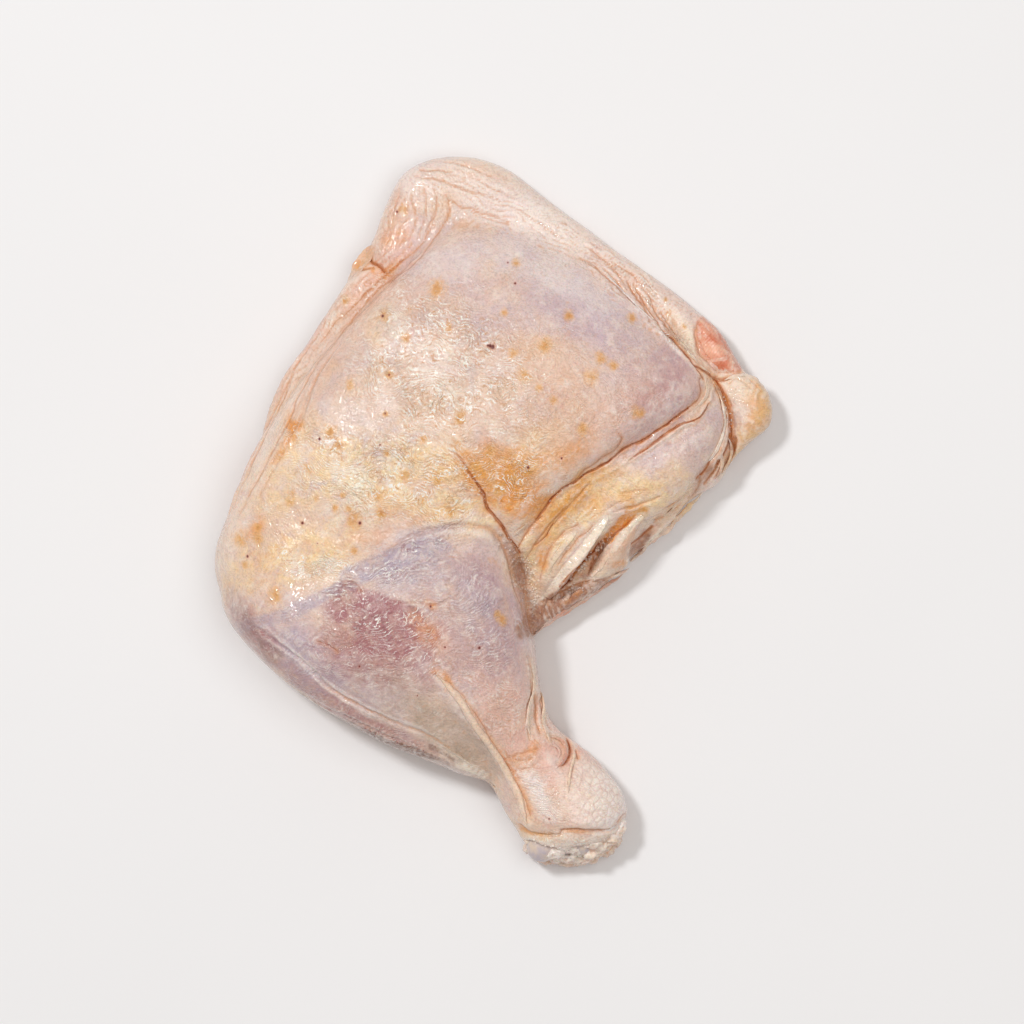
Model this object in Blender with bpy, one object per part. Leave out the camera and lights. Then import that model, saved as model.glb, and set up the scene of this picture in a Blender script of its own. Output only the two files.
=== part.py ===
"""A raw chicken leg quarter, lying skin side up: thigh, drumstick and the loose skin round them.

Plan: +Y runs from the cut hock joint at the foot to the hip, +Z up from the table. The points are
plan millimetres about the middle of the leg's box, for a leg LEG_LENGTH long.
"""

import math

import bmesh
import bpy
import numpy as np

# Driving sizes, in metres
LEG_LENGTH = 0.207
THIGH_HEIGHT = 0.0400
DRUMSTICK_HEIGHT = 0.0425
FLANK_HEIGHT = 0.0265
SKIRT_HEIGHT = 0.0160
LEDGE_HEIGHT = 0.0140
HOCK_HEIGHT = 0.0240
BONE_THICKNESS = 0.0085
KNUCKLE_SIZE = 0.0102
BONE_GAP = 0.0003

# How finely it is made
PLAN_LENGTH = 207.0
VOXEL = 0.0010
BLEND_ROUNDS = 15
LEG_TRIANGLES = 10900
BONE_TRIANGLES = 800
RING_SIDES = 32
ROWS_PER_STATION = 5

UNIT = LEG_LENGTH / PLAN_LENGTH

SKIN = (0.86, 0.71, 0.62)
CARTILAGE = (0.86, 0.80, 0.70)


def clear_scene():
    for obj in list(bpy.data.objects):
        bpy.data.objects.remove(obj)


def material(name, colour, roughness):
    made = bpy.data.materials.new(name)
    made.use_nodes = True
    shader = made.node_tree.nodes["Principled BSDF"]
    shader.inputs["Base Color"].default_value = (*colour, 1.0)
    shader.inputs["Roughness"].default_value = roughness
    shader.inputs["Metallic"].default_value = 0.0
    return made


def object_from(bm, name):
    mesh = bpy.data.meshes.new(name)
    bm.to_mesh(mesh)
    bm.free()
    made = bpy.data.objects.new(name, mesh)
    bpy.context.scene.collection.objects.link(made)
    return made


def baked(obj):
    """The object's evaluated mesh in world space, as its own object. The original is removed."""
    bpy.context.view_layer.update()
    graph = bpy.context.evaluated_depsgraph_get()
    mesh = bpy.data.meshes.new_from_object(obj.evaluated_get(graph))
    mesh.transform(obj.matrix_world)
    name = obj.name
    bpy.data.objects.remove(obj)
    made = bpy.data.objects.new(name, mesh)
    bpy.context.scene.collection.objects.link(made)
    return made


def smooth_line(points, per_span):
    """A Catmull-Rom line through the points, each a row of numbers."""
    rows = np.array(points, float)
    padded = np.vstack([2 * rows[0] - rows[1], rows, 2 * rows[-1] - rows[-2]])
    line = []
    for i in range(len(rows) - 1):
        a, b, c, d = padded[i : i + 4]
        for step in range(per_span):
            t = step / per_span
            bend = 2 * a - 5 * b + 4 * c - d
            twist = 3 * b - a - 3 * c + d
            line.append(0.5 * (2 * b + (c - a) * t + bend * t**2 + twist * t**3))
    line.append(rows[-1])
    return np.array(line)


def rounded(angle, power):
    """The unit superellipse at this angle: 2 is a circle, and more is squarer."""
    c, s = math.cos(angle), math.sin(angle)
    return math.copysign(abs(c) ** (2 / power), c), math.copysign(abs(s) ** (2 / power), s)


def loft(name, stations, crown=2.2, sole=4.0, waist=0.42):
    """A closed mass across two rails. A station is (left x, left y, right x, right y, floor, crest).

    Plan points are in plan millimetres, floor and crest in metres above the table. Each section
    is widest at the waist, a share of its height, with a rounded crown above and a flat sole below.
    """
    bm = bmesh.new()
    rings = []
    for left_x, left_y, right_x, right_y, floor, crest in smooth_line(stations, ROWS_PER_STATION):
        left = np.array([left_x, left_y]) * UNIT
        right = np.array([right_x, right_y]) * UNIT
        middle, half = (left + right) / 2, (right - left) / 2
        belt = floor + waist * (crest - floor)
        ring = []
        for side in range(RING_SIDES):
            angle = math.tau * side / RING_SIDES
            across, up = rounded(angle, crown if math.sin(angle) >= 0 else sole)
            x, y = middle + across * half
            z = belt + up * ((crest - belt) if up >= 0 else (belt - floor))
            ring.append(bm.verts.new((x, y, z)))
        rings.append(ring)
    for near, far in zip(rings, rings[1:]):
        for side in range(RING_SIDES):
            after = (side + 1) % RING_SIDES
            bm.faces.new((near[side], near[after], far[after], far[side]))
    bm.faces.new(rings[0])
    bm.faces.new(rings[-1])
    bmesh.ops.recalc_face_normals(bm, faces=bm.faces)
    return object_from(bm, name)


def slab(name, outline, floor, top, edge):
    """A flat mass with a rounded edge, from a smooth closed outline in plan millimetres."""
    curve = bpy.data.curves.new(name, "CURVE")
    curve.dimensions = "2D"
    curve.fill_mode = "BOTH"
    curve.resolution_u = 6
    curve.bevel_depth = edge
    curve.bevel_resolution = 4
    curve.offset = -edge
    curve.extrude = (top - floor) / 2 - edge
    spline = curve.splines.new("BEZIER")
    spline.bezier_points.add(len(outline) - 1)
    spline.use_cyclic_u = True
    for point, (x, y) in zip(spline.bezier_points, outline):
        point.co = (x * UNIT, y * UNIT, 0)
        point.handle_left_type = point.handle_right_type = "AUTO"
    made = bpy.data.objects.new(name, curve)
    made.location.z = (floor + top) / 2
    bpy.context.scene.collection.objects.link(made)
    return baked(made)


def skirt():
    """The loose skin and fat that spread on the table round the thigh."""
    outline = [
        (-75, -30), (-81, -16), (-78, -2.5), (-70, 14), (-63, 36), (-53, 51), (-43.5, 66), (-36, 77),
        (-31, 90), (-25, 99.5), (-11, 103.7), (2, 101), (16, 91), (39, 74), (58, 60), (66, 51),
        (67, 38), (60, 18), (46, 4), (30, -10), (10, -28), (-20, -45), (-50, -45),
    ]
    return slab("skirt", outline, 0.0, SKIRT_HEIGHT, 0.0076)


def thigh():
    """The thigh's muscle, from the hip down to the knee: the highest dome of the leg."""
    high = THIGH_HEIGHT
    return loft(
        "thigh",
        [
            (10, 82, 66, 43, 0.004, 0.48 * high),
            (-7, 83, 65, 37, 0.002, 0.70 * high),
            (-20, 77, 63, 31, 0.001, 0.86 * high),
            (-33, 65, 58, 24, 0.001, 0.95 * high),
            (-46, 51, 48, 17, 0.0, 1.00 * high),
            (-58, 36, 34, 6.5, 0.0, 1.00 * high),
            (-68, 21, 21, -5, 0.0, 0.96 * high),
            (-75, 6, 10, -17, 0.0, 0.90 * high),
            (-79, -8, -5, -27, 0.0, 0.84 * high),
            (-79.5, -19, -27, -38, 0.0, 0.74 * high),
            (-74, -28, -50, -41, 0.002, 0.55 * high),
        ],
        crown=2.35,
        waist=0.38,
    )


def drumstick():
    """The drumstick, from the knee to the cut hock: a full calf, a thin shank and a knob."""
    high, hock = DRUMSTICK_HEIGHT, HOCK_HEIGHT
    return loft(
        "drumstick",
        [
            (-79, -26, -76, -12, 0.006, 0.45 * high),
            (-75.5, -33, -58, -3, 0.002, 0.76 * high),
            (-67, -43, -33, 0, 0.0, 0.93 * high),
            (-55, -53, -11, -3, 0.0, 1.00 * high),
            (-43, -60.5, 4, -12, 0.0, 0.99 * high),
            (-31, -67, 10.5, -26, 0.0, 0.92 * high),
            (-20, -71.5, 12.5, -41, 0.001, 0.81 * high),
            (-9, -76, 14.5, -54, 0.002, 0.67 * high),
            (-1.5, -78.5, 18, -62, 0.003, 1.04 * hock),
            (1.5, -83.5, 28, -69.5, 0.0025, 0.97 * hock),
            (4, -88, 36, -78.5, 0.001, 0.98 * hock),
            (6.5, -92, 39, -86, 0.0, 0.95 * hock),
            (9, -96, 38, -91.5, 0.0005, 0.84 * hock),
            (12, -99.5, 34, -96.5, 0.0015, 0.62 * hock),
            (15, -101.5, 30, -99.5, 0.0030, 0.44 * hock),
        ],
        crown=2.2,
        sole=3.2,
        waist=0.40,
    )


def flank():
    """The fold of belly skin and fat behind the thigh, between the deep crease and the notch."""
    high = FLANK_HEIGHT
    return loft(
        "flank",
        [
            (57, 46, 67.5, 33, 0.004, 0.60 * high),
            (50, 40, 66.5, 20, 0.001, 0.86 * high),
            (38, 35, 57, 5, 0.0, 1.00 * high),
            (24, 26, 42.5, -5, 0.0, 1.00 * high),
            (11, 15, 29.5, -13.5, 0.0, 0.96 * high),
            (5.5, 2, 19, -22, 0.0, 0.86 * high),
            (4, -10, 12.5, -29, 0.001, 0.68 * high),
        ],
        crown=2.5,
    )


def inner_skin():
    """The skin's inner layer, which shows under the flank as a thin ledge above the table."""
    outline = [
        (11.5, -35), (17, -31.5), (25, -26.5), (34, -20), (40.3, -13.5), (48.5, -6.5), (53.6, -0.8),
        (57, 3.4), (61.5, 6), (66, 9), (62, 18), (44, 6), (28, -8), (12, -22), (6, -30),
    ]
    return slab("inner_skin", outline, 0.0, LEDGE_HEIGHT, 0.0042)


def tail_lobe():
    """The pad of fat and skin at the tail end. Its outer edge stands a little off the table."""
    outline = [
        (68, 42.5), (72, 40.8), (76.8, 38.8), (80.2, 34.5), (81.3, 29), (80.4, 25), (75, 20.3),
        (70, 15), (66, 9.5), (62, 14), (63, 28), (64, 38),
    ]
    return slab("tail_lobe", outline, 0.0042, 0.0162, 0.0052)


def hip_muscle():
    """The end of the thigh muscle, bare where the skin was cut away beside the tail."""
    outline = [(60, 56.5), (62.8, 55.8), (66.5, 52), (69.4, 46.6), (72.3, 41), (70, 37), (62, 40), (57, 49)]
    return slab("hip_muscle", outline, 0.0015, 0.0152, 0.0055)


def torn_flap():
    """A torn leaf of skin that stands out from under the flank and ends in a point."""
    return loft(
        "torn_flap",
        [
            (42.4, -0.8, 43.4, -2.0, 0.0160, 0.0200),
            (38, -5, 41.6, -8.2, 0.0120, 0.0202),
            (32.5, -11.5, 39, -14, 0.0080, 0.0192),
            (28.5, -17.5, 34.5, -19, 0.0050, 0.0176),
            (23, -23, 29, -23.5, 0.0040, 0.0156),
        ],
        crown=2.0,
    )


def tendon_stub():
    """The cut tendon's frayed end, which sticks out of the hock."""
    return loft(
        "tendon_stub",
        [
            (19, -97, 26, -96, 0.0050, 0.0120),
            (22.6, -101, 26.4, -100.6, 0.0062, 0.0100),
            (23.8, -104.8, 25.8, -104.7, 0.0068, 0.0090),
        ],
        sole=2.2,
    )


def white_fold():
    """The flank's slack lower rim, folded over on itself."""
    return loft(
        "white_fold",
        [
            (33, 1, 35.5, -2.5, 0.016, 0.0258),
            (25, -5, 28.5, -10, 0.011, 0.0252),
            (16, -14.5, 20.5, -19.5, 0.007, 0.0228),
            (10.5, -23, 14.5, -27.5, 0.005, 0.0184),
        ],
        crown=2.0,
    )


def fused(masses, name):
    """The masses grown together under one skin."""
    bm = bmesh.new()
    for mass in masses:
        bm.from_mesh(mass.data)
        bpy.data.objects.remove(mass)
    made = object_from(bm, name)
    remesh = made.modifiers.new("grow_together", "REMESH")
    remesh.mode = "VOXEL"
    remesh.voxel_size = VOXEL
    soften = made.modifiers.new("soften", "SMOOTH")
    soften.factor = 0.5
    soften.iterations = BLEND_ROUNDS
    return baked(made)


# Creases pressed into the skin: name, half width, and a plan line with the depth at each point,
# all in plan millimetres. A depth below 0 raises a fold.
CREASES = [
    (
        "behind_knee", 2.0,
        [(-10, 15, 0.3), (-4, 4, 2.2), (2, -6, 3.4), (9, -18, 4.2), (11.5, -32, 4)],
    ),
    (
        "knee_hollow", 5.0,
        [(-58, -22, 0), (-40, -9, 1), (-24, -2, 1.2), (-8, 0, 1.2), (2, -4, 0.5)],
    ),
    (
        "flank_crease", 1.6,
        [(64, 37, 2), (57, 29, 3), (45, 22, 3.6), (31, 12.5, 4), (18, 3.6, 4), (8, -7, 2)],
    ),
    (
        "flank_pleat", 1.3,
        [(66, 36, 0.5), (62.5, 29, 1.8), (57, 25, 2), (49, 20, 1.8), (41, 15, 0.4)],
    ),
    (
        "tail_cleft", 1.3,
        [(67, 40, 1.6), (68.5, 33, 2.4), (70, 27, 2.6), (70, 20, 3), (67.5, 12, 3.4)],
    ),
    (
        "muscle_edge", 1.5,
        [(58.5, 57, 1), (59.5, 51, 1.6), (63, 44, 1.8), (68, 39.5, 2)],
    ),
    (
        "hip_groove", 1.8,
        [(24, 77, 0.5), (32, 72, 1.6), (42, 64, 2), (54, 52, 2), (61, 44, 1.8), (65, 40, 1)],
    ),
    (
        "hip_rim", 1.7,
        [(16, 76, 0), (28, 70.5, -0.8), (39, 62, -1), (52, 49, -1), (60, 40, -0.8), (64, 37, 0)],
    ),
    (
        "left_fold", 1.7,
        [(-12, 87, 0.8), (-26, 72.5, 2), (-44, 54, 2), (-56, 39, 1.8), (-73, 8, 0.8)],
    ),
    (
        "left_pleat", 1.5,
        [(-21, 76, 0.5), (-33, 65, 1.3), (-46, 50, 1.3), (-53, 36, 1.2), (-58, 25, 0.4)],
    ),
    (
        "left_band", 2.0,
        [(-40, 66, 0.3), (-52, 47, 1.2), (-62, 31, 1.2), (-71, 10, 1), (-77, -4, 0.4)],
    ),
    (
        "corner_notch", 1.5,
        [(-38.5, 74.5, 2.5), (-35, 72.5, 3), (-30.5, 68.5, 1.8)],
    ),
    (
        "corner_fold", 1.6,
        [(-21, 99, 0.2), (-13, 97, 1), (-5, 93.5, 0.6)],
    ),
    (
        "corner_pleat", 1.5,
        [(-12, 90, 0.8), (-5, 87.5, 1.3), (8, 84, 1), (20, 79, 0.3)],
    ),
    (
        "calf_seam", 1.9,
        [(-68, -34, 0.3), (-56, -42.5, 1.6), (-44, -51.5, 1.9), (-31, -60.5, 1.9), (-16, -68, 1)],
    ),
    (
        "shank_web", 4.2,
        [(-26, -56, 0.5), (-15, -61, 2), (-8, -67.5, 2.8), (-2, -74, 2.4), (2, -81, 1)],
    ),
    (
        "shank_tendon", 1.5,
        [(-17, -45, -0.5), (-8, -56.5, -2), (-2, -66, -2.2), (6, -79, -2), (9.5, -90, -1.2)],
    ),
    (
        "shank_pleat", 1.3,
        [(10.5, -47, 0.2), (12, -55, 1.3), (10.5, -66, 0.6)],
    ),
    (
        "shank_knot", 1.6,
        [(17, -64, 0.6), (20.5, -68, 1.9), (21, -73.5, 0.8)],
    ),
    (
        "hock_edge", 1.3,
        [(2.5, -91, 1), (13.5, -93, 1.6), (20, -91.5, 1.6), (27, -92.5, 1.6), (38, -89, 1.2)],
    ),
    (
        "flap_cleft", 1.6,
        [(43, 0, 0.8), (36, -5, 3), (29, -12, 3.6), (22, -19.5, 3.6), (14, -27, 2.4)],
    ),
    (
        "ledge_cleft", 1.5,
        [(45, -3, 0.8), (43, -8.5, 2.2), (38.5, -15, 2.4), (32, -20.5, 1.6)],
    ),
    (
        "flank_rim", 1.5,
        [(65, 12.5, 1), (59, 8, 1.8), (54, 1.5, 1.8), (48, -3, 1)],
    ),
]

# Furrows between the muscles on the side that lies on the table, given in the same way
FURROWS = [
    (
        "thigh_furrow", 11,
        [(-60, -26, 0), (-44, -10, 3), (-22, 14, 4.5), (-2, 40, 4.5), (12, 66, 2), (20, 84, 0)],
    ),
    (
        "calf_furrow", 7,
        [(-54, -36, 0), (-38, -43, 3), (-22, -54, 3.5), (-6, -68, 2), (6, -80, 0)],
    ),
    (
        "flank_furrow", 9,
        [(0, -8, 0), (10, 6, 2), (28, 26, 3.5), (42, 40, 2.5), (54, 50, 0)],
    ),
]


def pressed_by(places, half_width, points):
    """How far a crease presses in at each plan place, in metres."""
    line = smooth_line(points, 6)
    line[:, :2] *= UNIT
    best = np.full(len(places), np.inf)
    depth = np.zeros(len(places))
    for start, end in zip(line, line[1:]):
        step = end[:2] - start[:2]
        share = np.clip((places - start[:2]) @ step / (step @ step), 0, 1)
        gap = np.linalg.norm(places - (start[:2] + share[:, None] * step), axis=1)
        nearer = gap < best
        best[nearer] = gap[nearer]
        depth[nearer] = start[2] + share[nearer] * (end[2] - start[2])
    return UNIT * depth * np.exp(-((best / (half_width * UNIT)) ** 2))


def vectors(mesh, kind):
    values = np.empty(len(mesh.vertices) * 3, np.float32)
    mesh.vertices.foreach_get(kind, values)
    return values.reshape(-1, 3).astype(float)


def crease_skin(obj):
    """Presses the creases into the skin and the furrows into the side below."""
    mesh = obj.data
    places, normals = vectors(mesh, "co"), vectors(mesh, "normal")
    above = np.clip((normals[:, 2] + 0.25) / 0.5, 0, 1)
    below = np.clip((-normals[:, 2] - 0.5) / 0.3, 0, 1)
    drop = sum(pressed_by(places[:, :2], width, line) for _, width, line in CREASES)
    lift = sum(pressed_by(places[:, :2], width, line) for _, width, line in FURROWS)
    inward = normals * 0.35 + np.array([0, 0, 0.65])
    places -= inward * (above * drop)[:, None]
    places[:, 2] += below * lift
    mesh.vertices.foreach_set("co", places.astype(np.float32).ravel())
    mesh.update()
    ease = obj.modifiers.new("ease", "SMOOTH")
    ease.factor = 0.5
    ease.iterations = 2
    return baked(obj)


def settle(obj, flat=0.0008):
    """Lowers the leg onto the table and flattens what touches it."""
    heights = np.empty(len(obj.data.vertices) * 3, np.float32)
    obj.data.vertices.foreach_get("co", heights)
    places = heights.reshape(-1, 3)
    places[:, 2] -= places[:, 2].min()
    places[places[:, 2] < flat, 2] = 0.0
    places[:, 2] = np.where(places[:, 2] > 0, places[:, 2] - flat, 0.0)
    obj.data.vertices.foreach_set("co", places.ravel())
    obj.data.update()


def thinned(obj, triangles):
    """The same form in fewer triangles, smallest where it bends most."""
    obj.data.calc_loop_triangles()
    thin = obj.modifiers.new("thin_out", "DECIMATE")
    thin.ratio = triangles / len(obj.data.loop_triangles)
    thin.use_collapse_triangulate = True
    return baked(obj)


# The drumstick's bone, from inside the knee to the cut joint: plan x, plan y, height above the table
BONE_LINE = [
    (-50, -30, 0.0190), (-28, -48, 0.0175), (-8, -66, 0.0138), (8, -82, 0.0112), (17.5, -92.5, 0.0103),
]
BONE_SWELL = [1.30, 1.02, 0.90, 0.86, 0.90, 1.05, 1.30]


def knuckle(name, x, y, radius):
    """One rounded head of the bone's end."""
    bm = bmesh.new()
    bmesh.ops.create_icosphere(bm, subdivisions=3, radius=radius)
    bmesh.ops.translate(bm, verts=bm.verts, vec=(x * UNIT, y * UNIT, 0.0098))
    return object_from(bm, name)


def shaft():
    line = smooth_line([(x * UNIT, y * UNIT, z) for x, y, z in BONE_LINE], 6)
    knots = np.linspace(0, 1, len(BONE_SWELL))
    bm = bmesh.new()
    rings = []
    for i, place in enumerate(line):
        ahead = line[min(i + 1, len(line) - 1)] - line[max(i - 1, 0)]
        ahead /= np.linalg.norm(ahead)
        side = np.cross(ahead, (0, 0, 1))
        side /= np.linalg.norm(side)
        up = np.cross(side, ahead)
        radius = BONE_THICKNESS / 2 * np.interp(i / (len(line) - 1), knots, BONE_SWELL)
        turns = np.arange(16) * math.tau / 16
        around = [math.cos(t) * side + math.sin(t) * up for t in turns]
        rings.append([bm.verts.new(place + radius * out) for out in around])
    for near, far in zip(rings, rings[1:]):
        for k in range(16):
            bm.faces.new((near[k], near[(k + 1) % 16], far[(k + 1) % 16], far[k]))
    bm.faces.new(rings[0])
    bm.faces.new(rings[-1])
    bmesh.ops.recalc_face_normals(bm, faces=bm.faces)
    return object_from(bm, "shaft")


def leg_bone():
    """The shank's bone. Its two rounded heads show in the cut at the hock."""
    inner = knuckle("inner_head", 14.2, -97.0, 0.49 * KNUCKLE_SIZE)
    outer = knuckle("outer_head", 25.4, -95.0, 0.51 * KNUCKLE_SIZE)
    bridge = knuckle("bridge", 19.8, -95.0, 0.46 * KNUCKLE_SIZE)
    made = fused([shaft(), inner, outer, bridge], "leg_bone")
    return thinned(made, BONE_TRIANGLES)


def bored(leg, core):
    """Cuts the bone's channel out of the leg, BONE_GAP wider all round than the bone."""
    cutter = core.copy()
    cutter.data = core.data.copy()
    cutter.name = "bone_channel"
    cutter.hide_render = True
    cutter.display_type = "WIRE"
    bpy.context.scene.collection.objects.link(cutter)
    places = vectors(cutter.data, "co") + BONE_GAP * vectors(cutter.data, "normal")
    cutter.data.vertices.foreach_set("co", places.astype(np.float32).ravel())
    cut = leg.modifiers.new("bone_channel", "BOOLEAN")
    cut.operation = "DIFFERENCE"
    cut.solver = "EXACT"
    cut.object = cutter
    made = baked(leg)
    bpy.data.objects.remove(cutter)
    return made


def leg_quarter():
    masses = [skirt(), thigh(), drumstick(), flank(), inner_skin(), tail_lobe(), hip_muscle()]
    masses += [torn_flap(), white_fold(), tendon_stub()]
    leg = crease_skin(fused(masses, "leg_quarter"))
    settle(leg)
    return thinned(leg, LEG_TRIANGLES)


def main():
    clear_scene()
    core = leg_bone()
    leg = bored(leg_quarter(), core)
    leg.data.materials.append(material("skin", SKIN, 0.42))
    core.data.materials.append(material("cartilage", CARTILAGE, 0.35))


main()
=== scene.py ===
# Raw chicken leg quarter, lying skin side up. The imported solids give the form, and this file gives the
# looks: fine folds, torn edges and wet uneven skin. Plan points are in millimetres, x to the right and y
# towards the hip.
import math

import bmesh
import bpy
import numpy as np
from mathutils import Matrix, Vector, bvhtree, noise


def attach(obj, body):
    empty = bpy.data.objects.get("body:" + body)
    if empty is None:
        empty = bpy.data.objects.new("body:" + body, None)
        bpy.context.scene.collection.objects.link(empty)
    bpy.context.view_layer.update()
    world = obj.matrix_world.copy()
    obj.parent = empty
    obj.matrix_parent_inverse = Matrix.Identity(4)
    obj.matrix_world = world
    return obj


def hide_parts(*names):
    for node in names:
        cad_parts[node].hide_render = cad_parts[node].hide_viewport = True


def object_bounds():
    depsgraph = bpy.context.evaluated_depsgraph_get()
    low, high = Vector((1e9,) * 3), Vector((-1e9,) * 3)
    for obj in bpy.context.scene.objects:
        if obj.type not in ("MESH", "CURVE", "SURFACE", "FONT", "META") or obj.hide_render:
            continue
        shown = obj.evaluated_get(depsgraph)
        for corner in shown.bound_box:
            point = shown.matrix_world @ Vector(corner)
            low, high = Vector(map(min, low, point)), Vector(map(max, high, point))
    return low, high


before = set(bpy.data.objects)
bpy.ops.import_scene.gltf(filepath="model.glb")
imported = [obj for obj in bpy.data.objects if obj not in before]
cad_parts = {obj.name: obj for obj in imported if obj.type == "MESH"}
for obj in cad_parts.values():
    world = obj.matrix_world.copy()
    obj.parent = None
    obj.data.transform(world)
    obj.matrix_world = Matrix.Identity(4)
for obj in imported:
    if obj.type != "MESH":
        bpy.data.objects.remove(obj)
cadBox = [list(corner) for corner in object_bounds()]
mm = 0.001
farAway = 9.0  # millimetres: what a place without a crease or a spot near it holds
# The noise takes its seed from the clock unless it is set, and then the folds' ragged edges differ in each run
noise.seed_set(1795526343)


def smoothLine(points, perSpan=6):
    rows = np.array(points, float)
    padded = np.vstack([2 * rows[0] - rows[1], rows, 2 * rows[-1] - rows[-2]])
    line = []
    for i in range(len(rows) - 1):
        a, b, c, d = padded[i : i + 4]
        for step in range(perSpan):
            t = step / perSpan
            bend, twist = 2 * a - 5 * b + 4 * c - d, 3 * b - a - 3 * c + d
            line.append(0.5 * (2 * b + (c - a) * t + bend * t**2 + twist * t**3))
    line.append(rows[-1])
    return np.array(line)


def nearLine(places, points, reach):
    # the places within reach of the line: index, distance, distance to its left (below 0 to its right),
    # millimetres along it, and the line's third number there
    line = smoothLine(points)
    low, high = line[:, :2].min(0) - reach, line[:, :2].max(0) + reach
    near = np.nonzero(((places > low) & (places < high)).all(1))[0]
    here = places[near]
    gap, left = np.full(len(near), 1e9), np.zeros(len(near))
    along, third = np.zeros(len(near)), np.zeros(len(near))
    walked = 0.0
    for start, end in zip(line, line[1:]):
        step = end[:2] - start[:2]
        length = math.hypot(*step)
        away = here - start[:2]
        share = np.clip(away @ step / length**2, 0, 1)
        distance = np.linalg.norm(away - share[:, None] * step, axis=1)
        closer = distance < gap
        gap[closer] = distance[closer]
        left[closer] = np.sign(step[0] * away[closer, 1] - step[1] * away[closer, 0]) * distance[closer]
        along[closer] = walked + share[closer] * length
        third[closer] = start[2] + share[closer] * (end[2] - start[2])
        walked += length
    keep = gap < reach
    return near[keep], gap[keep], left[keep], along[keep], third[keep], walked


def noiseAt(places, size, octaves=3, shift=0.0):
    # smooth noise of about -1 to 1 at each place, with lumps of this size in millimetres
    offset = Vector((shift, shift * 1.7, -shift))
    return np.array([noise.fractal(Vector(p) / (size * mm) + offset, 1.0, 2.0, octaves) for p in places])


def ease(value, low, high):
    t = np.clip((value - low) / (high - low), 0, 1)
    return t * t * (3 - 2 * t)


def meshArray(mesh, kind="co"):
    values = np.empty(len(mesh.vertices) * 3, np.float32)
    mesh.vertices.foreach_get(kind, values)
    return values.reshape(-1, 3).astype(float)


def putPlaces(mesh, places):
    mesh.vertices.foreach_set("co", places.astype(np.float32).ravel())
    mesh.update()


def applied(piece):
    bpy.context.view_layer.update()
    graph = bpy.context.evaluated_depsgraph_get()
    old = piece.data
    piece.data = bpy.data.meshes.new_from_object(piece.evaluated_get(graph))
    piece.modifiers.clear()
    bpy.data.meshes.remove(old)
    return piece


def newPiece(name, mesh):
    piece = bpy.data.objects.new(name, mesh)
    bpy.context.scene.collection.objects.link(piece)
    return piece


def pieceFrom(name, bm):
    mesh = bpy.data.meshes.new(name)
    bm.to_mesh(mesh)
    bm.free()
    return newPiece(name, mesh)


def softened(piece, rounds, group=""):
    soften = piece.modifiers.new("soften", "SMOOTH")
    soften.vertex_group = group
    soften.factor = 0.5
    soften.iterations = rounds
    return applied(piece)


def remeshed(piece, voxel, rounds):
    remesh = piece.modifiers.new("remesh", "REMESH")
    remesh.mode = "VOXEL"
    remesh.voxel_size = voxel * mm
    return softened(piece, rounds)


def addBall(bm, place, radius, stretch=None, detail=2):
    ball = bmesh.ops.create_icosphere(bm, subdivisions=detail, radius=radius)["verts"]
    if stretch:
        bmesh.ops.scale(bm, verts=ball, vec=stretch)
    bmesh.ops.translate(bm, verts=ball, vec=Vector(place) * mm)


def closeChannel(mesh, limit):
    # fills the bone's channel in this mesh up to a plan limit, so that only the bone's cut end shows
    bm = bmesh.new()
    bm.from_mesh(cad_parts["leg_bone"].data)
    everything = bm.verts[:] + bm.edges[:] + bm.faces[:]
    cut = dict(plane_co=(0, limit * mm, 0), plane_no=(0, -1, 0), clear_outer=True)
    bmesh.ops.bisect_plane(bm, geom=everything, **cut)
    bmesh.ops.holes_fill(bm, edges=[e for e in bm.edges if e.is_boundary], sides=0)
    bm.from_mesh(mesh)
    bm.to_mesh(mesh)
    bm.free()


def evenMesh(name, node, voxel, smoothing):
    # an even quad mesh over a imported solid, with its flat facets eased away
    piece = newPiece(name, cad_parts[node].data.copy())
    if node == "leg_quarter":
        closeChannel(piece.data, skinShape["channelEnd"])
    piece.data.materials.clear()
    return remeshed(piece, voxel, smoothing)


def relaxBeds(piece, beds, rounds):
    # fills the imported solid's broad furrows here, so that thin sharp creases can take their place
    plan = meshArray(piece.data)[:, :2] / mm
    soft = np.zeros(len(plan))
    for line, reach in beds:
        near, gap, _, _, strength, _ = nearLine(plan, line, 1.6 * reach)
        soft[near] = np.maximum(soft[near], strength * (1 - ease(gap, 0.6 * reach, 1.5 * reach)))
    soft *= ease(meshArray(piece.data, "normal")[:, 2], 0.1, 0.5)
    group = piece.vertex_groups.new(name="beds")
    for step in range(1, 11):
        chosen = np.nonzero(np.round(soft * 10) == step)[0]
        group.add([int(i) for i in chosen], step / 10, "REPLACE")
    return softened(piece, rounds, "beds")


def thinUnder(piece, share):
    # fewer faces under the leg, where the skin lies flat on the table
    normals = meshArray(piece.data, "normal")
    group = piece.vertex_groups.new(name="flatSide")
    group.add([int(i) for i in np.nonzero(normals[:, 2] < -0.6)[0]], 1.0, "REPLACE")
    thin = piece.modifiers.new("thin", "DECIMATE")
    thin.vertex_group = "flatSide"
    thin.ratio = share
    return applied(piece)


def refineNear(piece, lines):
    # halves the faces of the upper side that lie within reach of these plan lines
    bm = bmesh.new()
    bm.from_mesh(piece.data)
    bm.normal_update()
    upper = [f for f in bm.faces if f.normal.z > -0.15 and f.calc_center_median().z > 0.6 * mm]
    plan = np.array([f.calc_center_median()[:2] for f in upper]) / mm
    close = np.zeros(len(plan), bool)
    for line, reach in lines:
        close[nearLine(plan, line, reach)[0]] = True
    edges = list({e for f, wanted in zip(upper, close) if wanted for e in f.edges})
    bmesh.ops.subdivide_edges(bm, edges=edges, cuts=1, use_grid_fill=True)
    bm.to_mesh(piece.data)
    bm.free()
    return softened(piece, 1)


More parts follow.
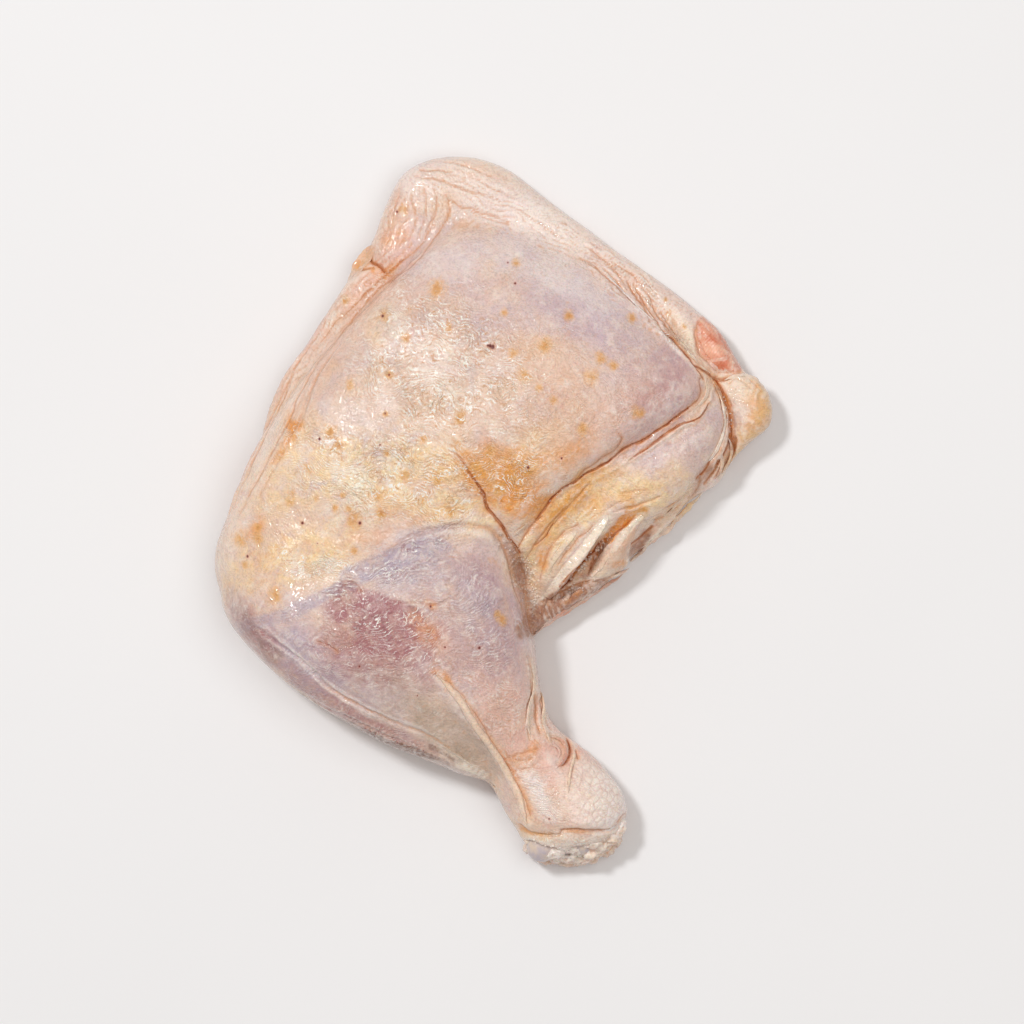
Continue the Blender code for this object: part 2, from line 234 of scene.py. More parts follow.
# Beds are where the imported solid's furrows are filled again: plan line with its strength, and reach.
beds = [
    ([(13.6, 0.1, 1), (23.8, 9.4, 1), (36.8, 17.5, 1), (51.3, 26.2, 1), (60, 34.1, 1),
      (61.8, 38.4, 0.7)], 4.0),
    ([(64.7, 35.5, 0.8), (61.5, 29.1, 1), (52.8, 23.9, 1), (44.4, 17.8, 0.8)], 3.0),
    ([(-10.1, 15.2, 0.8), (-4.3, 6.5, 0.9), (2, -3.6, 0.8), (5.5, -8, 0.5)], 3.2),
    ([(-12.8, 89.2, 0.8), (-21.2, 76.1, 1), (-37.7, 63.1, 1), (-52.2, 45.1, 1), (-63.2, 24.5, 1),
      (-74.8, 5.1, 0.8)], 3.0),
    ([(-21.2, 74.4, 0.8), (-33.6, 63.7, 1), (-45.2, 51.8, 1), (-53.9, 38.1, 1), (-58.9, 23.9, 0.8)], 3.0),
    ([(-30.7, 68.9, 0.7), (-42.6, 59.3, 0.8), (-55.1, 43.9, 0.8), (-67, 21, 0.8), (-73.4, 3.6, 0.6)], 3.0),
    ([(23.8, 75, 0.7), (34.8, 67.1, 0.8), (42.9, 58.7, 0.8), (52.5, 48.9, 0.8), (61.2, 40.2, 0.8)], 3.0),
    ([(15.1, -25.4, 1), (20.9, -19.6, 1), (26.7, -13.8, 1), (32.5, -8.6, 1), (36.2, -4.5, 0.8)], 4.5),
    ([(18.3, -23.1, 0.9), (24.6, -16.7, 0.9), (31, -11.5, 0.9), (37.4, -6.8, 0.8)], 8.0),
    ([(13.6, -18.1, 0.7), (20, -9.4, 0.8), (28.1, -2.2, 0.7), (33.9, 2.2, 0.5)], 6.0),
    ([(31, -22.5, 0.8), (37.4, -16.1, 0.9), (41.5, -9.4, 0.9), (44.1, -5.1, 0.7)], 3.0),
    ([(-69.3, -31.8, 0.7), (-55.4, -42.8, 0.8), (-31.6, -60.8, 0.8), (-15.4, -67.4, 0.5)], 3.0),
    ([(-13, -50.3, 0.8), (-4.6, -61.6, 0.9), (3.8, -75, 0.9), (9, -86.9, 0.7)], 2.6),
    ([(-36.8, 74.1, 0.7), (-31.9, 70.3, 0.8)], 2.5),
    ([(-20.9, 99.6, 0.6), (-7.8, 96.1, 0.7), (-12.5, 90.9, 0.6), (2, 84.8, 0.7), (13.6, 80.5, 0.5)], 2.6),
]

# Creases of the skin. Each is a plan line with its depth in millimetres as the third number, below 0 for a
# ridge. width is its half width, where it isn't the usual one, soft a round bottom in place of a sharp one,
# lip a raised rim beside it, step the height of an edge that stands on its left (on its right below 0) and
# falls back over reach, and stain how brown the line is, which is partly the skin's own brown and partly
# painted shade.
folds = {
    "behindKnee": dict(width=0.38, lip=0.3, stain=1.0, line=[
        (-11, 17.5, 0.08), (-8.7, 14.9, 0.3), (-6.7, 12, 0.52), (-4.6, 8.8, 0.68), (-2.3, 5.4, 0.75),
        (-1.7, 1.9, 0.83), (0.3, -1.3, 0.9), (2.9, -4.5, 0.9), (5.2, -8, 0.9), (7.5, -11.5, 0.75)]),
    "kneeForkUp": dict(stain=0.7, line=[
        (-2.9, 5.4, 0.5), (-1.7, 3.6, 0.9), (-1.7, 1.3, 1), (0.9, -2.2, 0.8)]),
    "underCalf": dict(width=0.8, lip=0.3, stain=0.35, line=[
        (3.8, -5.7, 0.5), (6.1, -9.7, 0.9), (7.8, -14.4, 1.1), (9, -19.6, 1.1), (9.9, -25.4, 1),
        (10.4, -30.6, 0.9), (11.6, -35.2, 0.6)]),
    "calfHem": dict(width=0.5, lip=0.5, stain=0.35, line=[
        (2, -8, 0.28), (4.3, -12.6, 0.63), (5.5, -17.8, 0.7), (7, -23.1, 0.7), (8.4, -27.1, 0.56),
        (9.6, -31.8, 0.21)]),
    "flankMain": dict(width=0.36, lip=0.2, stain=1.0, line=[
        (12.5, -2.2, 0.22), (14.2, 0.4, 0.43), (17.1, 4.2, 0.58), (23.8, 9.4, 0.65), (31, 13.5, 0.72),
        (36.8, 17.5, 0.72), (42.9, 20.7, 0.65), (46.7, 23.3, 0.65), (51.3, 26, 0.58), (56.5, 30.3, 0.43)]),
    "flankMainTop": dict(width=0.5, stain=0.6, line=[
        (56.5, 30.3, 0.49), (59.2, 32.6, 0.42), (60, 34.9, 0.35), (59.2, 37.8, 0.35), (60.3, 39, 0.35)]),
    "flankLip": dict(width=1.0, soft=True, line=[
        (13.6, -3.3, -0.1), (18.3, 1.9, -0.2), (25.2, 6.8, -0.25), (33.3, 11.7, -0.3), (45.5, 18.7, -0.5),
        (54.8, 24.5, -0.7), (61.2, 30.3, -0.8), (63.5, 35.5, -0.6)]),
    "flankSecond": dict(width=0.34, lip=0.3, stain=0.9, line=[
        (62.1, 31.5, 0.42), (61.2, 29.4, 0.63), (59.2, 27.7, 0.7), (55.4, 25.7, 0.7), (51.9, 23.6, 0.7),
        (48.4, 21.6, 0.63), (44.9, 19, 0.56), (41.5, 16.7, 0.35), (39.4, 14.9, 0.14)]),
    "thighHook": dict(width=0.38, stain=0.5, line=[
        (36.5, 22.5, 0.48), (37.1, 21, 0.72), (36, 19, 0.72), (33.9, 17.3, 0.56), (31, 15.5, 0.56),
        (28.1, 13.5, 0.56), (24.6, 10.6, 0.4), (21.8, 7.7, 0.24)]),
    "flankFoldA": dict(width=0.45, lip=0.35, stain=0.6, line=[
        (6.7, -10.9, 0.18), (8.7, -7.4, 0.48), (11.3, -3.9, 0.54), (13.9, -1.3, 0.24)]),
    "flankFoldB": dict(width=0.5, lip=0.35, stain=0.45, line=[
        (9.6, -13.8, 0.18), (12.5, -8.6, 0.48), (15.1, -5.1, 0.54), (18.3, -1, 0.36), (21.2, 1.9, 0.18)]),
    "flankFoldC": dict(lip=0.2, stain=0.5, line=[
        (29.3, -3.3, 0.2), (27, -5.4, 0.5), (24.6, -7.1, 0.6), (22.9, -9.4, 0.5), (20.9, -11.7, 0.4),
        (18.3, -15.5, 0.2)]),
    "flankFoldD": dict(width=0.7, lip=0.2, stain=0.2, soft=True, line=[
        (28.1, 8.8, 0.2), (24.1, 4.2, 0.4), (19.4, -1, 0.5), (15.9, -5.7, 0.3)]),
    "flankLowA": dict(width=0.6, lip=0.3, stain=0.2, soft=True, line=[
        (34.5, 0.1, 0.2), (38.6, 1.3, 0.5), (43.2, 2.5, 0.5), (48.4, 4.2, 0.3)]),
    "flankLowB": dict(lip=0.4, stain=0.35, line=[
        (42.6, -2.8, 0.3), (46.1, -2.8, 0.7), (49.6, -1, 0.7), (52.5, 1.3, 0.3)]),
    "underFlap": dict(step=0.5, reach=2.5, stain=0.6, line=[
        (18.3, -23.1, 0.5), (22.3, -21.3, 0.9), (26.4, -20.2, 1.2), (30.2, -19.6, 1.2), (34.5, -19, 1),
        (39.7, -16.4, 0.6)]),
    "pocket": dict(width=1.7, soft=True, line=[
        (44.9, -5.9, 0.6), (43.5, -8, 1.2), (41.2, -10.9, 1.2), (40, -12.6, 0.6)]),
    "pocketSide": dict(width=0.35, stain=0.9, line=[
        (45.8, -4.2, 0.6), (44.1, -5.9, 0.9), (42, -8, 1), (39.7, -9.7, 0.6)]),
    "flapFoldA": dict(stain=0.7, line=[
        (27.8, -17.8, 0.3), (28.4, -14.9, 0.7), (29.6, -12.3, 0.9), (31.3, -10, 0.9), (32.8, -8, 0.3)]),
    "gapCrack": dict(width=0.35, stain=0.5, line=[
        (25.2, -14.4, 0.3), (27.5, -12.9, 0.8), (30.4, -11.5, 0.6)]),
    "foldBrownA": dict(width=0.35, stain=0.45, line=[
        (24.4, -3.3, 0.3), (21.2, -5.1, 0.5), (18.6, -7.4, 0.5), (16.2, -10.9, 0.4), (14.8, -14.9, 0.4),
        (13.9, -19, 0.2)]),
    "foldBrownB": dict(width=0.3, stain=0.7, line=[
        (12.2, -9.4, 0.3), (14.5, -7.4, 0.5), (15.9, -5.7, 0.4), (17.1, -3.3, 0.2)]),
    "flankSlit": dict(line=[(53.6, 3, 0.4), (52.5, 1.6, 0.9), (51, 0.1, 0.4)], width=0.35, stain=0.6),
    "flankLongA": dict(width=0.35, stain=0.35, line=[
        (37.4, 5.4, 0.1), (40.9, 6.2, 0.35), (44.9, 6.2, 0.1)]),
    "flankLongB": dict(line=[(31, -0.4, 0.1), (35.1, 2.5, 0.3), (39.7, 3.9, 0.1)], width=0.35, stain=0.3),
    "flankRound": dict(step=0.4, reach=1.5, stain=0.35, line=[
        (59.7, 12.3, 0.2), (60, 9.4, 0.6), (59.4, 6.5, 0.6), (57.1, 3.9, 0.2)]),
    "lobeCrackA": dict(lip=0.2, stain=0.3, line=[
        (68.1, 37.3, 0.2), (69.9, 38.7, 0.5), (72.2, 37.8, 0.4), (74.5, 36.1, 0.1)]),
    "lobeCrackB": dict(lip=0.15, stain=0.12, soft=True, line=[
        (73.9, 39.6, 0.2), (75.7, 37.3, 0.4), (78, 35.2, 0.1)]),
    "flankLowC": dict(line=[(49.6, 1.3, 0.3), (51.9, 2.5, 0.9), (53.9, 3.9, 0.4)], lip=0.4, stain=0.5),
    "flankGap": dict(width=0.45, stain=1.0, line=[
        (40.9, -1.9, 0.3), (37.7, -4.5, 0.5), (34.5, -7.1, 0.6), (31.6, -8.3, 0.6), (29.6, -10.6, 0.8),
        (27, -13.8, 1.1), (24.4, -16.4, 1.5), (22, -19, 1.5), (19.4, -21.6, 1.1), (15.9, -25.4, 0.6)]),
    "flankEdge": dict(width=0.5, step=0.7, reach=3.0, stain=0.7, line=[
        (65.5, 34.9, 0.6), (66.4, 32, 1.05), (67.3, 26.8, 1.12), (66.4, 22.2, 1.05), (64.7, 17.5, 0.98),
        (61.8, 12.9, 0.9), (59.2, 10, 0.6)]),
    "tailFoldA": dict(width=0.55, lip=0.6, stain=0.9, line=[
        (69, 23.9, 0.6), (67.9, 19.3, 1.3), (66.4, 15.8, 1.3), (64.7, 13.5, 0.8)]),
    "tailFoldB": dict(width=0.5, lip=0.5, stain=0.8, line=[
        (70.2, 21, 0.6), (69.6, 17.5, 1.3), (68.1, 14.1, 0.8)]),
    "tailFoldC": dict(width=0.5, lip=0.4, stain=0.6, soft=True, line=[
        (65.2, 15.2, 0.5), (64.1, 11.7, 0.9), (61.2, 8.3, 0.4)]),
    "tailCleft": dict(width=1.1, lip=0.3, stain=1.0, line=[
        (64.7, 39, 1), (66.4, 35.5, 1.8), (67.9, 31.8, 2.1), (68.7, 27.4, 2.0), (69, 23.3, 1.7),
        (69.3, 19.3, 1)]),
    "tailRoot": dict(width=0.7, stain=0.7, line=[
        (63.5, 39.6, 0.4), (66.4, 38.7, 1.4), (70.2, 39.9, 1.2), (73.4, 40.2, 0.4)]),
    "hipEdge": dict(width=0.42, step=-0.6, reach=3.0, stain=0.55, line=[
        (21.2, 75, 0.1), (25.2, 73.2, 0.2), (29.3, 70.9, 0.3), (34.8, 66.3, 0.4), (39.1, 62.2, 0.5),
        (42.9, 58.4, 0.6), (46.4, 55.2, 0.7), (49.6, 51.8, 0.7), (53.1, 48, 0.7), (57.1, 43.9, 0.7),
        (60, 40.5, 0.6)]),
    "hipWet": dict(width=0.5, stain=0.8, line=[
        (48.4, 52.9, 0.4), (50.2, 51.8, 0.8), (51.9, 50.3, 1), (53.6, 48, 1), (56, 45.7, 0.9),
        (58.3, 42.5, 0.8), (60.9, 38.7, 0.6)]),
    "hipInner": dict(stain=0.8, line=[
        (57.1, 43.6, 0.2), (60, 41.6, 0.5), (62.9, 39.6, 0.6), (64.7, 38.4, 0.3)]),
    "bandPleatA": dict(lip=0.4, stain=0.5, line=[
        (36, 67.1, 0.2), (38, 64.5, 0.6), (40.3, 60.8, 0.6), (42, 59, 0.2)]),
    "bandPleatB": dict(lip=0.5, stain=0.6, line=[
        (38.9, 67.4, 0.2), (40.6, 63.7, 0.6), (42.6, 60.8, 0.7), (44.1, 58.1, 0.6), (45.8, 55.8, 0.3)]),
    "bandPleatC": dict(lip=0.5, stain=0.6, line=[
        (40.9, 66, 0.2), (42.6, 62.5, 0.6), (44.4, 59.3, 0.7), (47, 55.8, 0.5), (49, 52.9, 0.2)]),
    "bandPleatD": dict(lip=0.4, stain=0.5, line=[
        (44.7, 63.9, 0.2), (45.8, 61, 0.5), (47, 58.4, 0.5), (49, 55.5, 0.5), (50.8, 52.6, 0.2)]),
    "bandPleatE": dict(lip=0.2, stain=0.4, line=[
        (28.1, 76.1, 0.1), (30.4, 73.8, 0.4), (33.9, 71.5, 0.4), (36.5, 68.6, 0.2)]),
    "bandLongA": dict(lip=0.2, stain=0.4, soft=True, line=[
        (48.4, 58.7, 0.1), (49.6, 56.4, 0.4), (51.9, 52.9, 0.4), (53.6, 50, 0.1)]),
    "bandLongB": dict(lip=0.2, stain=0.4, soft=True, line=[
        (33.9, 72.6, 0.1), (39.7, 69.7, 0.3), (42.6, 66.3, 0.3), (44.9, 62.8, 0.1)]),
    "meatEdge": dict(width=0.5, step=-0.5, reach=2.0, stain=0.25, line=[
        (60.9, 55.8, 0.4), (58.6, 52.9, 0.8), (58.9, 49.7, 0.9), (60, 46.5, 1), (62.3, 43.6, 1),
        (65.2, 41, 0.8), (69.9, 40.5, 0.5)]),
    "cornerA": dict(lip=0.3, stain=0.35, soft=True, line=[
        (-20.9, 99.3, 0.4), (-18.3, 99, 0.6), (-15.4, 99, 0.5), (-11.3, 98.5, 0.2)]),
    "cornerA2": dict(width=0.5, lip=0.3, stain=0.2, soft=True, line=[
        (-22.6, 97.6, 0.1), (-17.1, 96.4, 0.35), (-12.5, 95.3, 0.4), (-7.8, 93.5, 0.35), (-3.2, 91.8, 0.25),
        (1.4, 90, 0.1)]),
    "cornerB": dict(width=0.34, lip=0.3, stain=0.3, line=[
        (-13, 90.6, 0.3), (-10.7, 89.5, 0.45), (-9, 88.3, 0.5), (-6.1, 88, 0.5), (-3.8, 86.6, 0.45),
        (0.3, 86, 0.4), (3.2, 84.5, 0.3), (6.1, 83.4, 0.1)]),
    "cornerC": dict(width=0.5, lip=0.2, stain=0.15, soft=True, line=[
        (-6.7, 97.6, 0.1), (-2.6, 95.3, 0.3), (1.4, 92.9, 0.3), (6.1, 91.2, 0.15)]),
    "cornerD": dict(width=0.5, lip=0.2, stain=0.15, soft=True, line=[
        (-17.7, 102.2, 0.1), (-11.9, 101.4, 0.3), (-4.9, 99.3, 0.3), (2, 96.1, 0.1)]),
    "cornerE": dict(width=0.5, lip=0.2, stain=0.12, soft=True, line=[
        (2, 89.2, 0.1), (7.8, 87.1, 0.3), (13.6, 83.7, 0.3), (18.3, 79.6, 0.1)]),
    "cornerDownA": dict(width=0.5, lip=0.1, stain=0.12, soft=True, line=[
        (-26.4, 95.8, 0.1), (-28.1, 88.9, 0.25), (-29.9, 81.3, 0.25), (-31.3, 75.5, 0.1)]),
    "cornerDownB": dict(width=0.45, lip=0.12, stain=0.2, soft=True, line=[
        (-23.8, 91.8, 0.15), (-22.6, 88.3, 0.4), (-22.3, 83.7, 0.35), (-24.6, 77.9, 0.1)]),
    "cornerDownC": dict(width=0.45, lip=0.1, stain=0.15, soft=True, line=[
        (-20.3, 93.5, 0.1), (-19.4, 88.9, 0.35), (-19.7, 84.2, 0.35), (-21.8, 79, 0.1)]),
    "cornerDownD": dict(width=0.45, lip=0.14, stain=0.25, soft=True, line=[
        (-17.1, 93.5, 0.15), (-16.2, 90, 0.5), (-17.1, 85.4, 0.4), (-18.8, 81.3, 0.2)]),
    "leftOne": dict(width=0.36, lip=0.25, stain=0.45, line=[
        (-17.1, 83.1, 0.2), (-19.4, 79, 0.4), (-22.9, 75.3, 0.45), (-27, 72.4, 0.5), (-31, 68.9, 0.55),
        (-35.1, 65.1, 0.55), (-39.1, 61, 0.45), (-43.2, 57, 0.4), (-47.3, 52.9, 0.3), (-50.8, 48.6, 0.2),
        (-54.2, 43.6, 0.1)]),
    "leftTwo": dict(width=0.38, lip=0.3, stain=0.38, line=[
        (-13.6, 91.8, 0.2), (-12.8, 88.9, 0.4), (-13.3, 85.4, 0.45), (-15.4, 81.3, 0.5), (-18.3, 77, 0.5),
        (-21.2, 73.5, 0.55), (-25.2, 70.6, 0.5), (-29.3, 67.7, 0.45), (-33.9, 63.7, 0.45), (-38, 59, 0.45),
        (-42.6, 53.5, 0.4), (-47.3, 47.1, 0.4), (-51.9, 40.7, 0.4), (-55.4, 34.1, 0.45), (-57.4, 28.3, 0.5),
        (-60.6, 22.2, 0.4), (-64.1, 15.8, 0.35), (-68.1, 7.7, 0.3), (-72.2, -0.4, 0.15)]),
    "leftThree": dict(width=0.38, lip=0.3, stain=0.22, line=[
        (-50.2, 52.9, 0.1), (-54.2, 47.1, 0.3), (-57.7, 40.2, 0.35), (-60.6, 33.2, 0.35),
        (-63.8, 25.7, 0.35), (-67.9, 17.5, 0.35), (-71.6, 9.4, 0.3), (-74.5, 1.9, 0.15)]),
    "leftFour": dict(lip=0.3, stain=0.25, soft=True, line=[
        (-56, 44.2, 0.1), (-60.6, 35.5, 0.3), (-64.7, 26.8, 0.3), (-69.3, 17.5, 0.3), (-73.4, 8.3, 0.3),
        (-76.8, -1, 0.1)]),
    "leftFive": dict(lip=0.25, stain=0.2, line=[
        (-53.6, 32.6, 0.1), (-56, 25.7, 0.4), (-59.4, 18.7, 0.4), (-62.9, 12.3, 0.35), (-67, 4.2, 0.2)]),
    "leftSix": dict(width=0.6, lip=0.3, stain=0.12, soft=True, line=[
        (-44.4, 48.6, 0.1), (-49, 41.3, 0.5), (-52.5, 33.8, 0.5), (-54.8, 26.8, 0.2)]),
    "notch": dict(width=0.5, step=-0.7, reach=3.0, stain=0.85, line=[
        (-36.2, 74.4, 0.8), (-35.1, 72.6, 1.2), (-33.3, 71.8, 1.4), (-31.6, 69.7, 1.2)]),
    "notchSide": dict(line=[(-40.9, 70.3, 0.3), (-38, 70.3, 0.8), (-34.5, 70.9, 0.6)], lip=0.3, stain=0.6),
    "calfBend": dict(width=0.6, lip=0.3, soft=True, line=[
        (-56.5, -40.5, 0.1), (-52.5, -37, 0.15), (-49, -33.5, 0.15), (-45.5, -30.6, 0.05)]),
    "calfNick": dict(width=0.35, stain=0.5, line=[
        (-49.6, -37, 0.2), (-46.7, -37.6, 0.4), (-44.4, -39.3, 0.2)]),
    "calfTop": dict(width=1.2, lip=0.3, stain=0.1, soft=True, line=[
        (-38.6, -15.5, 0.05), (-28.1, -9.4, 0.4), (-18.3, -5.1, 0.6), (-9, -3.3, 0.7), (-1.4, -4.8, 0.8),
        (2, -7.4, 0.6)]),
    "calfSeam": dict(width=0.7, lip=0.5, soft=True, line=[
        (-69.3, -31.8, 0.2), (-62.6, -36.7, 0.6), (-55.4, -42.2, 0.7), (-47.3, -49.7, 0.7),
        (-40.3, -54.1, 0.7), (-30.4, -59.3, 0.6), (-19.4, -63.7, 0.5), (-12.5, -67.4, 0.2)]),
    "calfLowSeam": dict(width=0.6, lip=0.3, soft=True, line=[
        (-58.3, -49.7, 0.2), (-49.3, -55.5, 0.5), (-40.3, -59.6, 0.6), (-30.4, -64.2, 0.5),
        (-21.2, -68, 0.3)]),
    "tendonSide": dict(width=0.45, stain=0.5, line=[
        (-13, -47.4, 0.15), (-7.8, -53.8, 0.3), (-3.2, -60.2, 0.35), (0.9, -67.4, 0.5), (4.9, -74.1, 0.6),
        (8.1, -80.5, 0.6), (10.4, -87.4, 0.3)]),
    "webHollow": dict(width=2.6, soft=True, line=[
        (-18.3, -51.5, 0.18), (-12.5, -57.9, 0.54), (-6.7, -64.5, 0.72), (-2, -70.9, 0.6),
        (2, -77.6, 0.3)]),
    "calfLine": dict(lip=0.2, stain=0.15, soft=True, line=[
        (-27.5, -25.4, 0.1), (-22.3, -25.4, 0.3), (-17.1, -26, 0.3), (-12.5, -24.8, 0.3),
        (-9, -23.1, 0.1)]),
    "calfBump": dict(width=0.35, lip=0.3, stain=0.4, line=[
        (-44.4, -22.5, 0.2), (-42.6, -20.7, 0.5), (-40.9, -19.9, 0.6), (-38.9, -20.4, 0.5),
        (-37.4, -22.5, 0.2)]),
    "shankFoldA": dict(lip=0.4, stain=0.12, line=[
        (10.1, -40.5, 0.16), (11, -46.3, 0.4), (11.3, -51.5, 0.45), (10.1, -56.1, 0.4), (9.9, -60.8, 0.4),
        (10.7, -65.4, 0.2)]),
    "shankFoldB": dict(width=0.6, lip=0.6, stain=0.5, line=[
        (11.9, -51.5, 0.28), (12.5, -55.5, 0.84), (12.5, -59, 0.98), (13, -61.9, 0.84),
        (13.6, -63.7, 0.28)]),
    "shankFoldD": dict(lip=0.3, stain=0.12, line=[
        (13.9, -53.8, 0.2), (14.8, -57.9, 0.5), (15.7, -61.3, 0.5), (17.7, -63.7, 0.3)]),
    "knotA": dict(lip=0.4, stain=0.5, line=[
        (15.9, -64.8, 0.3), (18.8, -65.4, 0.6), (20.9, -67.1, 0.8), (21.5, -70, 0.8), (20, -72.6, 0.5)]),
    "knotB": dict(width=0.6, lip=0.4, stain=1.0, line=[
        (21.2, -65.4, 0.6), (22.3, -68.3, 1.6), (21.8, -71.2, 1.2), (20, -72.9, 0.5)]),
    "knotC": dict(line=[(23.8, -68.9, 0.8), (24.6, -70.9, 1.2)], width=0.6, stain=0.7),
    "knotD": dict(lip=0.25, stain=0.05, soft=True, line=[
        (21.8, -63.1, 0.1), (24.6, -66.6, 0.4), (27.5, -69.5, 0.3), (30.4, -72.4, 0.1)]),
    "shankRingA": dict(width=0.3, lip=0.1, stain=0.4, line=[
        (2.6, -71.2, 0.1), (5.2, -70.3, 0.2), (7.8, -69.2, 0.25), (10.7, -68.3, 0.2), (13.9, -67.4, 0.06)]),
    "shankRingB": dict(width=0.3, lip=0.1, stain=0.4, line=[
        (5.2, -74.1, 0.1), (7.5, -73.8, 0.25), (9.9, -73.2, 0.2), (12.5, -72.4, 0.06)]),
    "shankRingC": dict(width=0.3, lip=0.1, stain=0.35, line=[
        (5.5, -70.6, 0.1), (7.8, -71.2, 0.2), (10.1, -70.9, 0.2), (11.9, -70, 0.06)]),
    "hockSkinEdge": dict(width=0.5, step=0.8, reach=2.4, stain=0.6, line=[
        (7.5, -89.8, 0.6), (10.1, -91.8, 1.2), (13.9, -92.7, 1.4), (18.3, -92.9, 1.4), (19.7, -92.4, 1.3),
        (20, -91.2, 1.3), (22.9, -91.2, 1.4), (28.1, -91.8, 1.4), (32.8, -91.5, 1.3), (36, -90.3, 1),
        (38.3, -87.4, 0.5)]),
}

# Bundles of fine parallel wrinkles: a plan line with the wrinkles' height, how far they reach to each
# side, and their spacing. They run along the line, or across it where across says so.
wrinkles = {
    "leftBand": dict(reach=7.0, spacing=1.7, line=[
        (-18.3, 80.2, 0.08), (-32.8, 68.6, 0.2), (-47.3, 52.9, 0.22), (-58.9, 34.9, 0.22),
        (-68.7, 14.6, 0.2), (-76.8, -2.8, 0.1)]),
    "hipBand": dict(reach=7.0, spacing=1.3, line=[
        (28.1, 74.4, 0.18), (37.4, 66.8, 0.32), (44.9, 60.5, 0.32), (51.9, 54.1, 0.26),
        (57.1, 48.6, 0.14)]),
    "hipBandFar": dict(reach=6.0, spacing=1.4, line=[
        (10.7, 82.5, 0.16), (25.2, 77.3, 0.26), (42.6, 67.4, 0.28), (57.1, 56.4, 0.16)]),
    "hipBandCross": dict(reach=8.0, spacing=1.9, across=True, line=[
        (31, 72.6, 0.08), (42.6, 62.8, 0.2), (54.2, 52.9, 0.18), (58.9, 47.1, 0.08)]),
    "corner": dict(reach=9.0, spacing=1.7, line=[
        (-21.2, 98.7, 0.14), (-12.5, 94.7, 0.24), (-0.9, 88.9, 0.24), (10.7, 83.1, 0.16)]),
    "cornerDown": dict(reach=8.0, spacing=1.6, line=[
        (-23.5, 97.6, 0.12), (-24.6, 86.6, 0.22), (-28.7, 76.1, 0.12)]),
    "flankLow": dict(reach=6.0, spacing=2.4, line=[
        (9, -25.4, 0.3), (17.1, -13.8, 0.35), (28.1, -2.2, 0.3), (42.6, 5.9, 0.15), (57.1, 14.6, 0.08)]),
    "flankTop": dict(reach=5.0, spacing=2.1, line=[
        (19.4, 3.6, 0.1), (33.9, 10.6, 0.12), (48.4, 19.3, 0.12), (61.5, 28, 0.1)]),
    "underCalfSide": dict(reach=4.5, spacing=2.0, across=True, line=[
        (3.5, -9.4, 0.15), (7.2, -18.1, 0.35), (9, -26.8, 0.35), (10.4, -39.9, 0.28), (11.6, -51.5, 0.25),
        (13.6, -60.2, 0.2)]),
    "lowCalfEdge": dict(reach=4.0, spacing=1.9, across=True, line=[
        (-56, -51.5, 0.1), (-41.5, -60.8, 0.2), (-24.1, -69.5, 0.25), (-9.6, -74.1, 0.2),
        (-0.9, -77.6, 0.2), (3.5, -83.4, 0.1)]),
    "shank": dict(reach=9.0, spacing=2.4, line=[
        (-6.7, -39.9, 0.1), (0.6, -54.4, 0.15), (6.4, -67.4, 0.18), (12.2, -79, 0.15)]),
    "lobe": dict(reach=6.5, spacing=4.3, across=True, line=[
        (68.7, 37.8, 0.06), (73.9, 36.1, 0.16), (78, 30.9, 0.18), (76.3, 23.9, 0.16), (71, 17.5, 0.08)]),
    "lowerCorner": dict(reach=5.5, spacing=2.6, across=True, line=[
        (11.6, -31.8, 0.2), (18.3, -27.1, 0.4), (27, -21.9, 0.35), (34.5, -17.3, 0.2)]),
    "kneeArcs": dict(reach=7.0, spacing=1.7, line=[
        (-47.3, 12.3, 0.1), (-35.7, 19.3, 0.22), (-21.2, 21, 0.24), (-9.6, 16.4, 0.24), (-2.6, 9.4, 0.1)]),
    "thighArcs": dict(reach=7.0, spacing=1.6, line=[
        (-27, 46.5, 0.06), (-15.4, 44.2, 0.2), (-3.8, 40.7, 0.2), (7.8, 38.4, 0.06)]),
    "calfArcs": dict(reach=6.0, spacing=1.6, line=[
        (-35.7, -19.6, 0.08), (-24.1, -13.8, 0.22), (-12.5, -10.3, 0.22), (-3.8, -10.9, 0.08)]),
    "thighLow": dict(reach=6.0, spacing=1.8, line=[
        (2, -2.2, 0.1), (5.5, 3.6, 0.2), (10.7, 12.3, 0.15), (19.4, 21, 0.06)]),
}

# Sizes and heights are in millimetres. channelEnd is how far the bone's channel is filled, underShare the
# share of faces left under the leg, underLift how much of a fold shows there, and upright how far the folds
# on top point straight up. foldWidth scales all creases.
skinShape = dict(
    channelEnd=-88.0, voxel=1.25, smoothing=3, bedRounds=34, underShare=0.70, usualWidth=0.4, foldWidth=0.66,
    lipShare=0.5, slackSize=24.0, slackHeight=0.5, lumpSize=8.0, lumpHeight=0.26, ruckSize=2.8,
    ruckHeight=0.10, ruckStray=1.2, straySize=7, stray=0.6, wanderSize=9, wander=1.4, patchSize=6,
    underLift=0.35, upright=0.55, flat=0.2,
)


